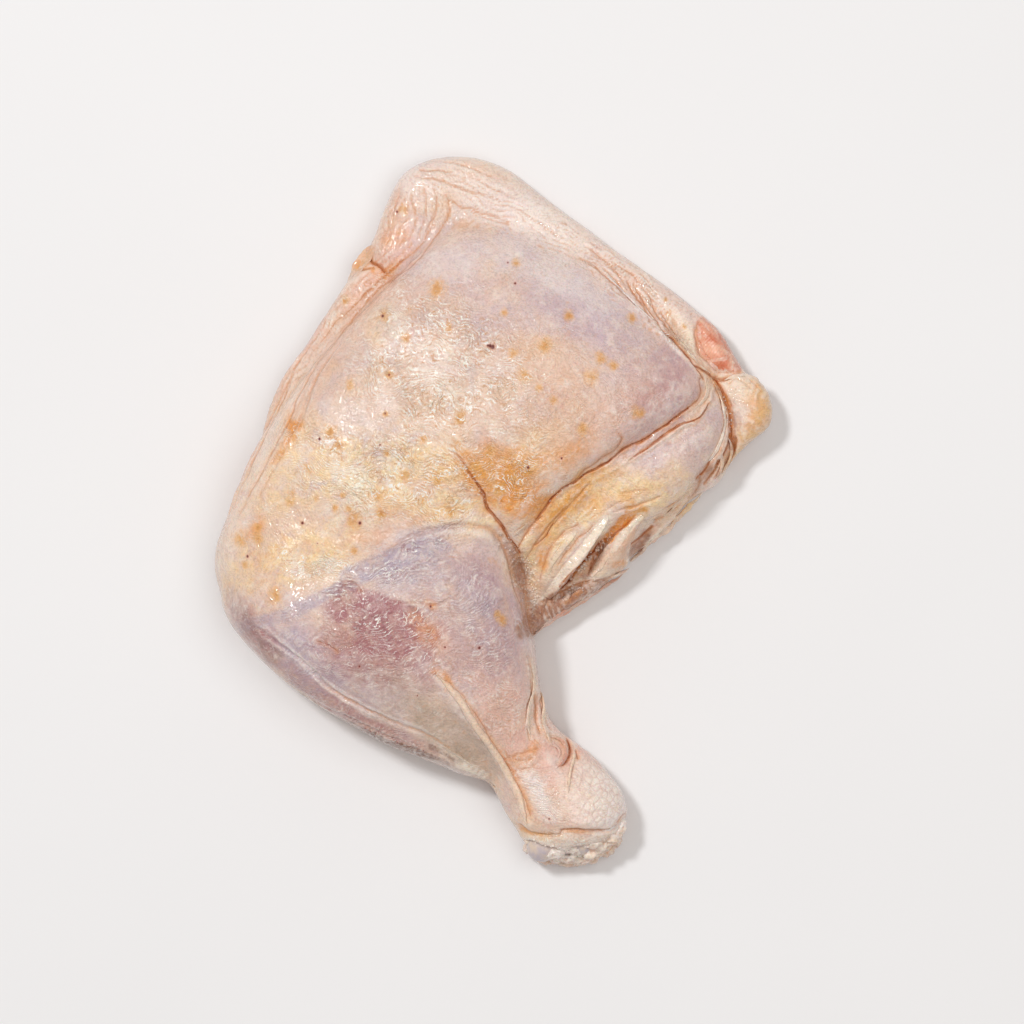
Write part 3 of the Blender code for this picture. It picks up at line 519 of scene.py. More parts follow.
def strokeSkin(skin, stroke):
    width = stroke.get("width", skinShape["usualWidth"]) * skinShape["foldWidth"]
    reachFar = stroke.get("reach", 0)
    reach = max(4.5 * width, 2.2 * reachFar, 3.0)
    near, gap, left, _, depth, _ = nearLine(skin["plan"], stroke["line"], reach)
    if stroke.get("soft"):
        profile = np.exp(-((gap / width) ** 2))
    else:
        profile = 0.85 * np.exp(-((gap / (1.35 * width)) ** 1.2))
    lift = -depth * profile
    fade = np.abs(depth) / max(np.abs(depth).max(), 1e-6)
    if stroke.get("lip"):
        rim = np.exp(-(((gap - 2.3 * width) / (1.2 * width)) ** 2))
        lift = lift + skinShape["lipShare"] * stroke["lip"] * fade * rim
    if stroke.get("step"):
        side = left * np.sign(stroke["step"])
        edge = ease(side, -0.5 * width, 0.9 * width) * np.exp(-((np.maximum(side, 0) / reachFar) ** 2))
        lift = lift + abs(stroke["step"]) * fade * edge
    skin["lift"][near] += lift
    stain = stroke.get("stain", 0) * ease(fade, 0.0, 0.6)
    closer = (gap < skin["creaseGap"][near]) & (stain > 0.02)
    skin["creaseGap"][near[closer]] = gap[closer]
    skin["creaseSide"][near[closer]] = left[closer]
    skin["creaseDark"][near[closer]] = stain[closer]


def wrinkleSkin(skin, bundle):
    near, gap, left, along, height, length = nearLine(skin["plan"], bundle["line"], bundle["reach"])
    wander = skinShape["wander"] * noiseAt(skin["places"][near], skinShape["wanderSize"], 2, 5.0)
    ahead = along if bundle.get("across") else left
    waves = 1 - 2 * np.abs(np.sin((ahead / bundle["spacing"] + wander) * math.pi)) ** 0.8
    patchy = np.clip(0.6 + 1.2 * noiseAt(skin["places"][near], skinShape["patchSize"], 2, 11.0), 0, 1.4)
    soft = ease(bundle["reach"] - gap, 0, 0.5 * bundle["reach"])
    ends = ease(np.minimum(along, length - along), 0, 4)
    skin["lift"][near] -= height * waves * patchy * soft * ends


def hollowDepth(mesh, places, normals, rounds=3):
    # how far each place lies below its neighbours, in millimetres, and below 0 on a crest
    pairs = np.empty(len(mesh.edges) * 2, np.int32)
    mesh.edges.foreach_get("vertices", pairs)
    first, second = pairs.reshape(-1, 2).T
    count = len(places)
    shares = np.maximum(np.bincount(pairs, minlength=count), 1)
    level = places
    for _ in range(rounds):
        sums = [np.bincount(first, level[second, k], count) for k in range(3)]
        sums = [part + np.bincount(second, level[first, k], count) for k, part in enumerate(sums)]
        level = np.stack(sums, 1) / shares[:, None]
    return ((level - places) * normals).sum(1) / mm


def insideBox(places, room=0.1):
    low, high = np.array(cadBox[0]) + room * mm, np.array(cadBox[1]) - room * mm
    low[2] = 0.0
    return np.clip(places, low, high)


def sculptSkin(piece):
    mesh = piece.data
    places, normals = meshArray(mesh), meshArray(mesh, "normal")
    count = len(places)
    skin = dict(places=places, lift=np.zeros(count), creaseDark=np.zeros(count))
    skin["creaseGap"], skin["creaseSide"] = np.full(count, farAway), np.full(count, farAway)
    stray = np.stack([noiseAt(places, skinShape["straySize"], 3, shift) for shift in (3.0, 9.0)], 1)
    skin["plan"] = places[:, :2] / mm + skinShape["stray"] * stray
    for stroke in folds.values():
        strokeSkin(skin, stroke)
    for bundle in wrinkles.values():
        wrinkleSkin(skin, bundle)
    lift = skin["lift"]
    lift += skinShape["slackHeight"] * noiseAt(places, skinShape["slackSize"], 2, 1.0)
    lift += skinShape["lumpHeight"] * noiseAt(places, skinShape["lumpSize"], 3, 2.0)
    strayed = places + skinShape["ruckStray"] * mm * stray[:, [0, 1, 0]]
    lift += skinShape["ruckHeight"] * (1 - 2.4 * np.abs(noiseAt(strayed, skinShape["ruckSize"], 2, 4.0)))
    above = ease(normals[:, 2], -0.35, 0.25)
    least, upright = skinShape["underLift"], skinShape["upright"]
    lift = lift * (least + (1 - least) * above)
    outward = normals * (1 - upright * above[:, None]) + np.array([0, 0, upright]) * above[:, None]
    places = insideBox(places + outward * (lift * mm)[:, None])
    places[:, 2] = np.where(places[:, 2] < skinShape["flat"] * mm, 0.0, places[:, 2])
    putPlaces(mesh, places)
    return skin


# Loose folds, straps and torn edges. Each lies on the skin, either between a left and a right edge or along
# a line with a half width. The third number is how far it stands above the skin there, in millimetres. level
# is how far its right side is held up to the height of its left.
looseFolds = {
    "tornFlap": dict(
        thick=0.9, crown=0.25, ribs=3, ribHeight=0.10, ragged=0.35, level=0.35,
        left=[(42.9, -0.4, 0.5), (40.3, -2.2, 1), (37.4, -4.8, 1.2), (34.5, -7.7, 1.3),
            (32.2, -10.3, 1.2), (30.2, -13.5, 1), (28.7, -16.4, 0.7), (27, -19.6, -0.3)],
        right=[(43.8, -1.3, 0.3), (42, -4.5, 0.6), (40.6, -7.4, 0.6), (39.7, -10.3, 0.5),
            (39.7, -12.9, 0.4), (38.9, -15.5, 0.3), (35.7, -17.8, 0.2), (31.6, -19.6, -0.3)],
    ),
    "pocketLeaf": dict(
        thick=0.7, crown=0.1, ribs=1, ribHeight=0.05, ragged=0.35,
        left=[(40.9, -3.3, -0.2), (42.9, -2.5, 0.3), (45.5, -1.9, 0.3), (47.6, -2.2, -0.2)],
        right=[(40, -8.3, -0.1), (42, -7.1, 0.5), (43.8, -5.4, 0.6), (45.2, -4.2, -0.1)],
    ),
    "flapSpike": dict(half=0.35, thick=0.7, crown=0.2, ragged=0.1, line=[
        (30.4, -12.6, -0.2), (31.3, -11.2, 0.5), (31.3, -9.7, 0.9), (30.7, -8.3, 0.9)]),
    "flapHeel": dict(
        thick=1.4, crown=0.5, ribs=2, ribHeight=0.15, ragged=0.4,
        left=[(33.1, -10.6, 0.4), (31, -12.6, 0.9), (29.3, -15.2, 0.9), (27.5, -17.8, 0.3)],
        right=[(33.9, -12.6, 0.6), (32.8, -14.4, 1.3), (31.3, -16.7, 1.3), (28.7, -19, 0.4)],
    ),
    "paleFoldUpper": dict(
        thick=0.9, crown=0.25, ribs=1, ribHeight=0.05, ragged=0.25,
        left=[(14.2, -21.9, -0.5), (15.1, -17.5, -0.1), (16.8, -13.2, 0.2), (19.4, -9.4, 0.3),
            (22, -6.2, 0.2), (24.4, -3.9, -0.4)],
        right=[(15.1, -21.9, -0.5), (16.2, -18.1, 0.0), (18, -14.4, 0.4), (20.6, -10.9, 0.5),
            (23.2, -7.7, 0.4), (25.2, -5.4, -0.4)],
    ),
    "paleFoldLower": dict(
        thick=1.0, crown=0.15, ribs=1, ribHeight=0.06, ragged=0.25, level=1.0,
        left=[(14.2, -24.2, -0.5), (16.8, -20.2, 0.0), (19.4, -16.4, 0.2), (22.3, -12.6, 0.3),
            (25.5, -8.8, 0.3), (28.7, -5.1, 0.2), (31.9, -1, -0.4)],
        right=[(16.5, -25.4, -0.3), (19.4, -22.2, 0.6), (22.3, -18.7, 0.9), (25.5, -14.6, 1.1),
            (28.4, -10.6, 1.1), (31, -6.8, 0.8), (32.8, -3.3, 0.3), (33.6, -0.7, -0.4)],
    ),
    "flankRim": dict(half=0.65, thick=1.1, crown=0.35, ragged=0.9, line=[
        (61.2, 5.9, -0.3), (57.1, 1.9, 0.2), (53.6, -2.2, 0.2), (49.9, -5.7, 0.3), (45.8, -8.8, 0.3),
        (42.6, -11.7, 0.2), (40, -14.4, -0.4)]),
    "lowRim": dict(half=0.55, thick=1.0, crown=0.3, ragged=0.8, line=[
        (11.9, -35.8, -0.4), (16.5, -31.8, 0.1), (21.2, -29.1, 0.2), (25.2, -26.5, 0.2), (28.7, -24.2, 0.2),
        (32.2, -21.9, 0.2), (36.2, -19.3, 0.2), (39.1, -16.7, -0.4)]),
    "slitRim": dict(half=0.4, thick=0.9, crown=0.3, ragged=0.3, line=[
        (54.5, 3.6, -0.3), (53.1, 2.2, 0.3), (51.3, 0.1, 0.3), (49, -1.3, -0.3)]),
    "innerRim": dict(half=0.5, thick=0.9, crown=0.3, ragged=0.4, line=[
        (39.7, -16.1, -0.3), (36.5, -17.8, 0.2), (33.3, -19, 0.3), (30.2, -19.6, 0.3), (27, -20.2, -0.3)]),
    "innerStrand": dict(half=0.55, thick=0.8, crown=0.2, ragged=0.3, line=[
        (18.3, -22.5, -0.3), (17.7, -24.8, 0.2), (16.8, -27.7, 0.2), (16.2, -30.9, -0.3)]),
    "innerStrandTwo": dict(half=0.45, thick=0.8, crown=0.2, ragged=0.3, line=[
        (16.2, -22.5, -0.3), (15.4, -24.8, 0.2), (14.5, -28, 0.2), (13.9, -32.3, -0.3)]),
    "kneeCordlet": dict(half=0.5, thick=0.9, crown=0.35, ragged=0.2, line=[
        (5.8, -7.1, -0.3), (7.2, -5.7, 0.4), (8.7, -4.5, 0.4), (10.1, -3, -0.3)]),
    "innerLump": dict(half=1.2, thick=1.1, crown=0.4, ragged=0.6, line=[
        (26.4, -21.9, -0.3), (24.6, -23.6, 0.5), (23.2, -25.4, 0.4), (21.2, -27.1, -0.3)]),
    "tendonCord": dict(half=1.15, thick=1.9, crown=0.6, ragged=0.3, line=[
        (-16.5, -45.7, -0.3), (-12.8, -49.4, 0.3), (-9.3, -53.8, 0.6), (-6.4, -59, 0.8), (-2.9, -64.2, 0.9),
        (1.2, -70, 0.9), (4.6, -76.1, 0.9), (7.2, -81.6, 0.8), (8.7, -86.6, 0.6), (10.1, -91.5, -0.2)]),
    "calfHemCord": dict(half=0.5, thick=1.1, crown=0.3, ragged=0.5, line=[
        (-16.5, -66.3, -0.3), (-12.5, -68.3, 0.3), (-8.7, -70.9, 0.4), (-5.2, -73.5, -0.3)]),
    "shankRidgeA": dict(half=0.5, thick=1.3, crown=0.5, ragged=0.3, line=[
        (10.7, -41.6, -0.3), (11.9, -46.8, 0.4), (11.9, -50.9, 0.6), (10.7, -55.5, 0.7), (10.1, -60.2, 0.6),
        (11, -65.4, -0.2)]),
    "shankRidgeB": dict(half=0.45, thick=1.3, crown=0.5, ragged=0.3, line=[
        (13.9, -52.1, -0.3), (14.8, -55.5, 0.5), (14.5, -59.6, 0.7), (15.4, -63.1, 0.5),
        (16.8, -66.6, -0.2)]),
    "knotFold": dict(half=0.55, thick=1.3, crown=0.5, ragged=0.25, line=[
        (16.5, -64.8, -0.2), (19.1, -65.1, 0.6), (20.9, -67.1, 0.9), (21.2, -69.7, 0.9), (19.7, -72.4, 0.5),
        (18, -74.1, -0.2)]),
    "knotFoldInner": dict(half=0.45, thick=1.1, crown=0.4, ragged=0.25, line=[
        (16.2, -67.1, -0.2), (18.3, -67.4, 0.4), (19.4, -69.2, 0.5), (18.8, -71.2, -0.1)]),
    "knotStrand": dict(half=0.45, thick=1.2, crown=0.45, ragged=0.25, line=[
        (22.9, -67.1, -0.2), (23.5, -70, 0.6), (22.6, -73.5, 0.6), (22, -77, 0.4), (21.8, -81.1, -0.2)]),
    "tailStrapA": dict(half=0.6, thick=1.1, crown=0.35, ragged=0.3, line=[
        (60, 41, -0.3), (61.5, 38.7, 0.3), (62.1, 35.5, 0.4), (60.9, 32.6, 0.3), (58.3, 30, -0.3)]),
    "tailStrapB": dict(half=0.42, thick=1.0, crown=0.35, ragged=0.3, line=[
        (62.9, 39.3, -0.3), (65, 35.8, 0.3), (66.4, 31.8, 0.4), (67, 28, 0.5), (67, 24.2, 0.5),
        (65.5, 19.6, 0.4), (63.2, 15.8, 0.2), (60, 13.2, -0.4)]),
    "hipCord": dict(half=0.4, thick=0.9, crown=0.25, ragged=0.4, line=[
        (50.8, 52.9, -0.3), (53.1, 50.6, 0.2), (55.4, 48, 0.3), (57.7, 45.1, 0.3), (60, 42.5, 0.3),
        (62.9, 40.2, -0.3)]),
    "hipHem": dict(half=0.28, thick=0.9, crown=0.25, ragged=0.2, line=[
        (31, 69.7, -0.3), (34.5, 67.1, 0.2), (37.4, 64.2, 0.3), (41.2, 60.2, 0.3), (44.9, 56.4, 0.3),
        (47.8, 53.2, -0.3)]),
    "cleftLoopA": dict(half=0.45, thick=1.4, crown=0.5, ragged=0.3, line=[
        (67.6, 22.2, -0.2), (69, 19.9, 0.7), (69, 16.7, 0.8), (67.9, 13.8, 0.6), (66.4, 11.2, -0.2)]),
    "cleftLoopB": dict(half=0.5, thick=1.4, crown=0.5, ragged=0.4, line=[
        (65.8, 17.5, -0.2), (66.4, 14.6, 0.6), (65.8, 11.7, 0.6), (64.1, 9.4, -0.2)]),
    "notchFlap": dict(
        thick=0.9, crown=0.2, ribs=2, ribHeight=0.1, ragged=0.45,
        left=[(-35.1, 77.9, 0.2), (-38, 76.1, 0.5), (-40, 73.5, 0.5), (-41.5, 70.3, 0.3),
            (-42.6, 66.8, -0.4)],
        right=[(-34.2, 76.1, 0.2), (-35.1, 73.5, 0.5), (-36.8, 71.5, 0.5), (-38.9, 69.5, 0.3),
            (-41.5, 66.3, -0.4)],
    ),
    "lobeRim": dict(half=0.6, thick=1.1, crown=0.25, ragged=0.7, line=[
        (67, 38.4, -0.2), (69.6, 39.3, 0.2), (72.8, 39.9, 0.3), (76, 38.7, 0.3), (78, 35.5, 0.2),
        (80, 33.2, -0.2)]),
    "hockHem": dict(
        thick=0.6, crown=0.05, ribs=1, ribHeight=0.03, ragged=0.35,
        left=[(9, -91.2, -0.5), (11.9, -92.1, -0.3), (15.9, -92.7, -0.3), (19.7, -92.1, -0.3),
            (23.5, -91.2, -0.3), (28.7, -91.8, -0.3), (33.3, -91.2, -0.3), (36.5, -89.2, -0.5)],
        right=[(9.6, -92.4, -0.2), (12.5, -93.2, 0.1), (16.2, -93.8, 0.2), (20, -92.9, 0.1),
            (24.1, -92.1, 0.2), (29.3, -92.7, 0.2), (33.6, -92.1, 0.1), (37.1, -90, -0.2)],
    ),
}


foldMesh = dict(alongStep=0.8, acrossStep=0.7, lowest=0.15, thinnest=0.3, hang=1.0, fall=0.5)  # millimetres


def sameSteps(points, count):
    line = smoothLine(points)
    walked = np.concatenate([[0], np.cumsum(np.linalg.norm(np.diff(line[:, :2], axis=0), axis=1))])
    want = np.linspace(0, walked[-1], count)
    return np.stack([np.interp(want, walked, line[:, k]) for k in range(3)], 1), walked[-1]


def besideLine(line, half):
    # the two edges of a strap that narrows to its ends
    way = np.gradient(line[:, :2], axis=0)
    way /= np.linalg.norm(way, axis=1)[:, None]
    across = np.stack([-way[:, 1], way[:, 0]], 1)
    step = np.arange(len(line))
    ends = np.clip(np.minimum(step, step[::-1]) / (0.14 * len(line)), 0.35, 1)
    wide = across * (half * ends)[:, None]
    left, right = line.copy(), line.copy()
    left[:, :2] += wide
    right[:, :2] -= wide
    return left, right


def skinHeight(tree, x, y):
    hit = tree.ray_cast(Vector((x * mm, y * mm, 0.2)), Vector((0, 0, -1)))[0]
    return hit.z / mm if hit else 0


def looseFold(name, look, tree):
    length = sameSteps(look.get("line") or look["left"], 40)[1]
    count = max(10, int(length / foldMesh["alongStep"]))
    if "line" in look:
        left, right = besideLine(sameSteps(look["line"], count)[0], look["half"])
    else:
        left, right = sameSteps(look["left"], count)[0], sameSteps(look["right"], count)[0]
    widest = np.linalg.norm((left - right)[:, :2], axis=1).max()
    columns = max(5, int(widest / foldMesh["acrossStep"]))
    share = np.linspace(0, 1, columns)
    grid = left[:, None] * (1 - share[:, None]) + right[:, None] * share[:, None]
    seed = sum(map(ord, name))  # so that no two folds share their raggedness
    for i in range(count):
        for side in (0, columns - 1):
            shove = noise.noise_vector(Vector((i * 0.45, side + seed, 0.3)))
            grid[i, side, :2] += look["ragged"] * np.array([shove.x, shove.y])
    # a height that follows the skin smoothly, and doesn't drop like a curtain where the skin ends
    base = np.array([[skinHeight(tree, x, y) for x, y, _ in row] for row in grid])
    crest, fall = base.max(axis=1), foldMesh["fall"] * length / count
    for order in (range(1, count), range(count - 2, -1, -1)):
        for i in order:
            crest[i] = max(crest[i], crest[i - (1 if order.step > 0 else -1)] - fall)
    base = np.maximum(base, crest[:, None] - foldMesh["hang"] - 0.7 * widest)
    for _ in range(2):
        base[1:-1] = (base[:-2] + 2 * base[1:-1] + base[2:]) / 4
        base[:, 1:-1] = (base[:, :-2] + 2 * base[:, 1:-1] + base[:, 2:]) / 4
    skinBelow = base.copy()
    level = look.get("level", 0)
    base = base * (1 - level) + np.maximum(base, base[:, :1]) * level
    top = grid.copy()
    top[..., 2] += base + look["crown"] * 4 * (share * (1 - share))[None]
    if look.get("ribs"):
        cells = [[Vector((i * 0.12, j * 0.3, seed)) for j in range(columns)] for i in range(count)]
        sway = np.array([[noise.noise(cell) for cell in row] for row in cells])
        top[..., 2] += look["ribHeight"] * np.cos((share[None] * look["ribs"] + 0.7 * sway) * math.tau)
    low = top.copy()
    low[..., 2] = np.maximum(top[..., 2] - look["thick"], foldMesh["lowest"])
    if level:
        low[..., 2] = np.maximum(np.minimum(low[..., 2], skinBelow - 0.5), foldMesh["lowest"])
    top[..., 2] = np.maximum(top[..., 2], low[..., 2] + foldMesh["thinnest"])

    bm = bmesh.new()
    upper, lower = [[[bm.verts.new(Vector(p) * mm) for p in row] for row in layer] for layer in (top, low)]
    for i in range(count - 1):
        for j in range(columns - 1):
            bm.faces.new((upper[i][j], upper[i + 1][j], upper[i + 1][j + 1], upper[i][j + 1]))
            bm.faces.new((lower[i][j], lower[i][j + 1], lower[i + 1][j + 1], lower[i + 1][j]))
        for j, turn in ((0, 1), (columns - 1, -1)):
            rim = (upper[i][j], lower[i][j], lower[i + 1][j], upper[i + 1][j])
            bm.faces.new(rim[::turn])
    for j in range(columns - 1):
        for i, turn in ((0, -1), (count - 1, 1)):
            rim = (upper[i][j], lower[i][j], lower[i][j + 1], upper[i][j + 1])
            bm.faces.new(rim[::turn])
    bmesh.ops.recalc_face_normals(bm, faces=bm.faces)
    piece = pieceFrom(name, bm)
    soften = piece.modifiers.new("soften", "SUBSURF")
    soften.levels = soften.render_levels = 2
    piece = applied(piece)
    places, normals = meshArray(piece.data), meshArray(piece.data, "normal")
    lift = 0.16 * noiseAt(places, 2.6, 3, seed * 0.01) + 0.06 * noiseAt(places, 0.9, 2, seed * 0.02)
    putPlaces(piece.data, insideBox(places + normals * (lift * mm)[:, None], 0.05))
    return piece


# The cut end of the hock, in millimetres: a lump has its middle and its three radii, and a strand its two
# ends and its half width.
gristle = dict(
    lumps=[
        (11.9, -95, 9.0, 3.0, 2.2, 3.0), (15.4, -94.4, 11.5, 3.4, 2.4, 3.0),
        (15.1, -97.6, 8.5, 2.8, 2.0, 2.6), (18.6, -96.4, 11.0, 3.2, 2.4, 3.0),
        (18.3, -99.6, 7.5, 3.0, 2.0, 2.4), (22, -96.4, 12.0, 3.4, 2.2, 2.8),
        (21.5, -100.2, 7.5, 3.0, 1.8, 2.2), (28.4, -95, 12.0, 3.8, 2.8, 3.4),
        (31.3, -96.7, 9.5, 3.0, 2.2, 3.0), (29.3, -98.7, 7.5, 2.8, 1.8, 2.4),
        (34.2, -93.8, 10.5, 3.0, 2.8, 3.0), (16.2, -97.9, 11.5, 2.8, 2.2, 2.8),
        (18.3, -97.9, 11.5, 3.0, 2.4, 2.8), (14.5, -95.6, 12.0, 2.8, 2.0, 2.4),
        (17.1, -94.4, 13.0, 2.6, 1.8, 2.0), (27, -100.5, 6.5, 2.4, 1.6, 2.2),
        (24.4, -101.1, 6.0, 2.6, 1.4, 2.0), (28.1, -99.3, 10.5, 1.8, 1.6, 2.0),
        (10.4, -97.9, 5.5, 1.8, 1.5, 2.2), (13.6, -100.2, 5.0, 2.4, 1.5, 2.0),
        (17.1, -101.1, 4.5, 3.4, 1.4, 1.8), (21.8, -101.9, 4.0, 3.4, 1.3, 1.7),
        (27.5, -101.1, 4.5, 3.6, 1.5, 1.8), (32.2, -98.5, 5.0, 3.0, 1.6, 2.2),
        (35.1, -95.6, 5.5, 2.4, 2.0, 2.4), (26.1, -100.8, 7.0, 1.8, 1.4, 1.8),
        (9.9, -92.9, 8.0, 2.0, 2.4, 2.6), (36.8, -90.9, 10.0, 2.0, 2.8, 3.2),
    ],
    strands=[
        (19.4, -95.6, 13.5, 16.2, -100.2, 10.0, 0.8), (21.2, -95.6, 14.0, 20, -101.4, 8.5, 0.7),
        (22.9, -97.3, 13.0, 23.5, -101.4, 8.0, 0.9), (23.5, -100.2, 8.5, 24.4, -103.1, 5.5, 0.7),
        (28.1, -96.7, 12.5, 31.9, -98.7, 9.0, 0.8), (15.9, -98.7, 9.0, 15.1, -101.4, 6.5, 0.7),
        (25.8, -95.6, 14.0, 28.1, -99.6, 8.5, 0.7), (12.5, -93.2, 12.0, 11, -96.7, 9.0, 0.8),
        (32.2, -94.4, 12.5, 35.1, -95.8, 9.0, 0.7), (20.6, -96.7, 12.5, 19.7, -101.6, 3.5, 0.6),
        (24.9, -97.9, 12.5, 25.8, -102.2, 4.0, 0.7), (29.9, -97.3, 11.0, 30.2, -101.1, 3.5, 0.6),
        (11.9, -95.6, 12.0, 12.5, -99.9, 4.0, 0.6), (15.4, -96.7, 12.0, 15.9, -101.4, 3.0, 0.6),
    ],
    voxel=0.5, smoothing=3,
)


def makeGristle(name, look):
    bm = bmesh.new()
    for x, y, z, wide, deep, high in look["lumps"]:
        addBall(bm, (x, y, z), 1.0, Vector((wide, deep, high)) * mm, 3)
    for x, y, z, toX, toY, toZ, half in look["strands"]:
        for step in range(13):
            share = step / 12
            place = Vector((x, y, z)).lerp(Vector((toX, toY, toZ)), share)
            addBall(bm, place, half * mm * (1.1 - 0.7 * share))
    piece = remeshed(pieceFrom(name, bm), look["voxel"], look["smoothing"])
    places, normals = meshArray(piece.data), meshArray(piece.data, "normal")
    lift = 0.45 * noiseAt(places, 3.0, 3, 6.0) + 0.35 * (1 - 3 * np.abs(noiseAt(places, 2.2, 3, 8.0)))
    putPlaces(piece.data, insideBox(places + normals * (lift * mm)[:, None], 0.05))
    return piece


# Grains of wet fat and tissue that lie in the gaps: plan line with their relative size, how far they stray,
# how many, and the smallest and largest half width
grains = {
    "gap": ([(34.5, -6.2, 0.4), (31, -10.3, 0.8), (27.5, -14.1, 1), (24.1, -17, 1),
        (20.6, -19.6, 0.8)], 1.1, 70, 0.22, 0.50),
    "corner": ([(9.6, -13.8, 0.5), (11.3, -17.8, 1), (12.5, -22.5, 1),
        (11.9, -27.1, 0.8)], 1.8, 70, 0.20, 0.45),
    "knee": ([(2, -6.2, 0.4), (5.2, -11.2, 0.8), (7.5, -17.3, 0.9),
        (9.3, -24.2, 0.8)], 2.0, 110, 0.12, 0.28),
    "lowFlesh": ([(11.9, -30.6, 0.6), (15.9, -27.7, 0.9), (21.2, -24.8, 0.8),
        (28.1, -21.9, 0.6)], 1.2, 20, 0.14, 0.28),
    "flesh": ([(19.4, -24.2, 0.6), (24.1, -22.5, 0.8), (29.9, -20.4, 0.6)], 1.6, 26, 0.20, 0.42),
    "hock": ([(11.3, -95.6, 0.6), (17.1, -97.9, 0.9), (24.1, -99.6, 0.8),
        (32.2, -96.7, 0.6)], 2.0, 40, 0.22, 0.50),
    "cleft": ([(66.4, 32.6, 0.5), (67.9, 28, 0.8), (68.7, 23.3, 0.6)], 0.7, 22, 0.20, 0.40),
}


def makeGrains(name, look, tree):
    draw = np.random.default_rng(7)
    bm = bmesh.new()
    for points, stray, count, least, most in look.values():
        line = sameSteps(points, 60)[0]
        for _ in range(count):
            x, y, share = line[draw.integers(len(line))]
            x, y = draw.normal((x, y), 0.55 * stray)
            size = draw.uniform(least, most) * (0.6 + 0.4 * share)
            height = skinHeight(tree, x, y) + 0.15 * size
            if height >= 4:  # on the leg, not beside it
                addBall(bm, (x, y, height), size * mm, Vector(draw.uniform(0.7, 1.5, 3)))
    piece = pieceFrom(name, bm)
    putPlaces(piece.data, insideBox(meshArray(piece.data), 0.05))
    return piece


bareMuscle = dict(
    left=[
        (59.4, 55.5, -0.3), (58.9, 52.6, 0.0), (59.4, 49.2, 0.1), (61.5, 45.7, 0.1), (64.1, 42.5, 0.0),
        (67.6, 40.2, -0.4),
    ],
    right=[
        (61.2, 56.7, -0.3), (64.4, 53.8, 0.2), (67, 51.2, 0.3), (68.7, 47.7, 0.3), (69.9, 44.8, 0.3),
        (72.2, 41.3, -0.4),
    ],
    thick=2.0, crown=0.45, ribs=2, ribHeight=0.12, ragged=0.9,
)

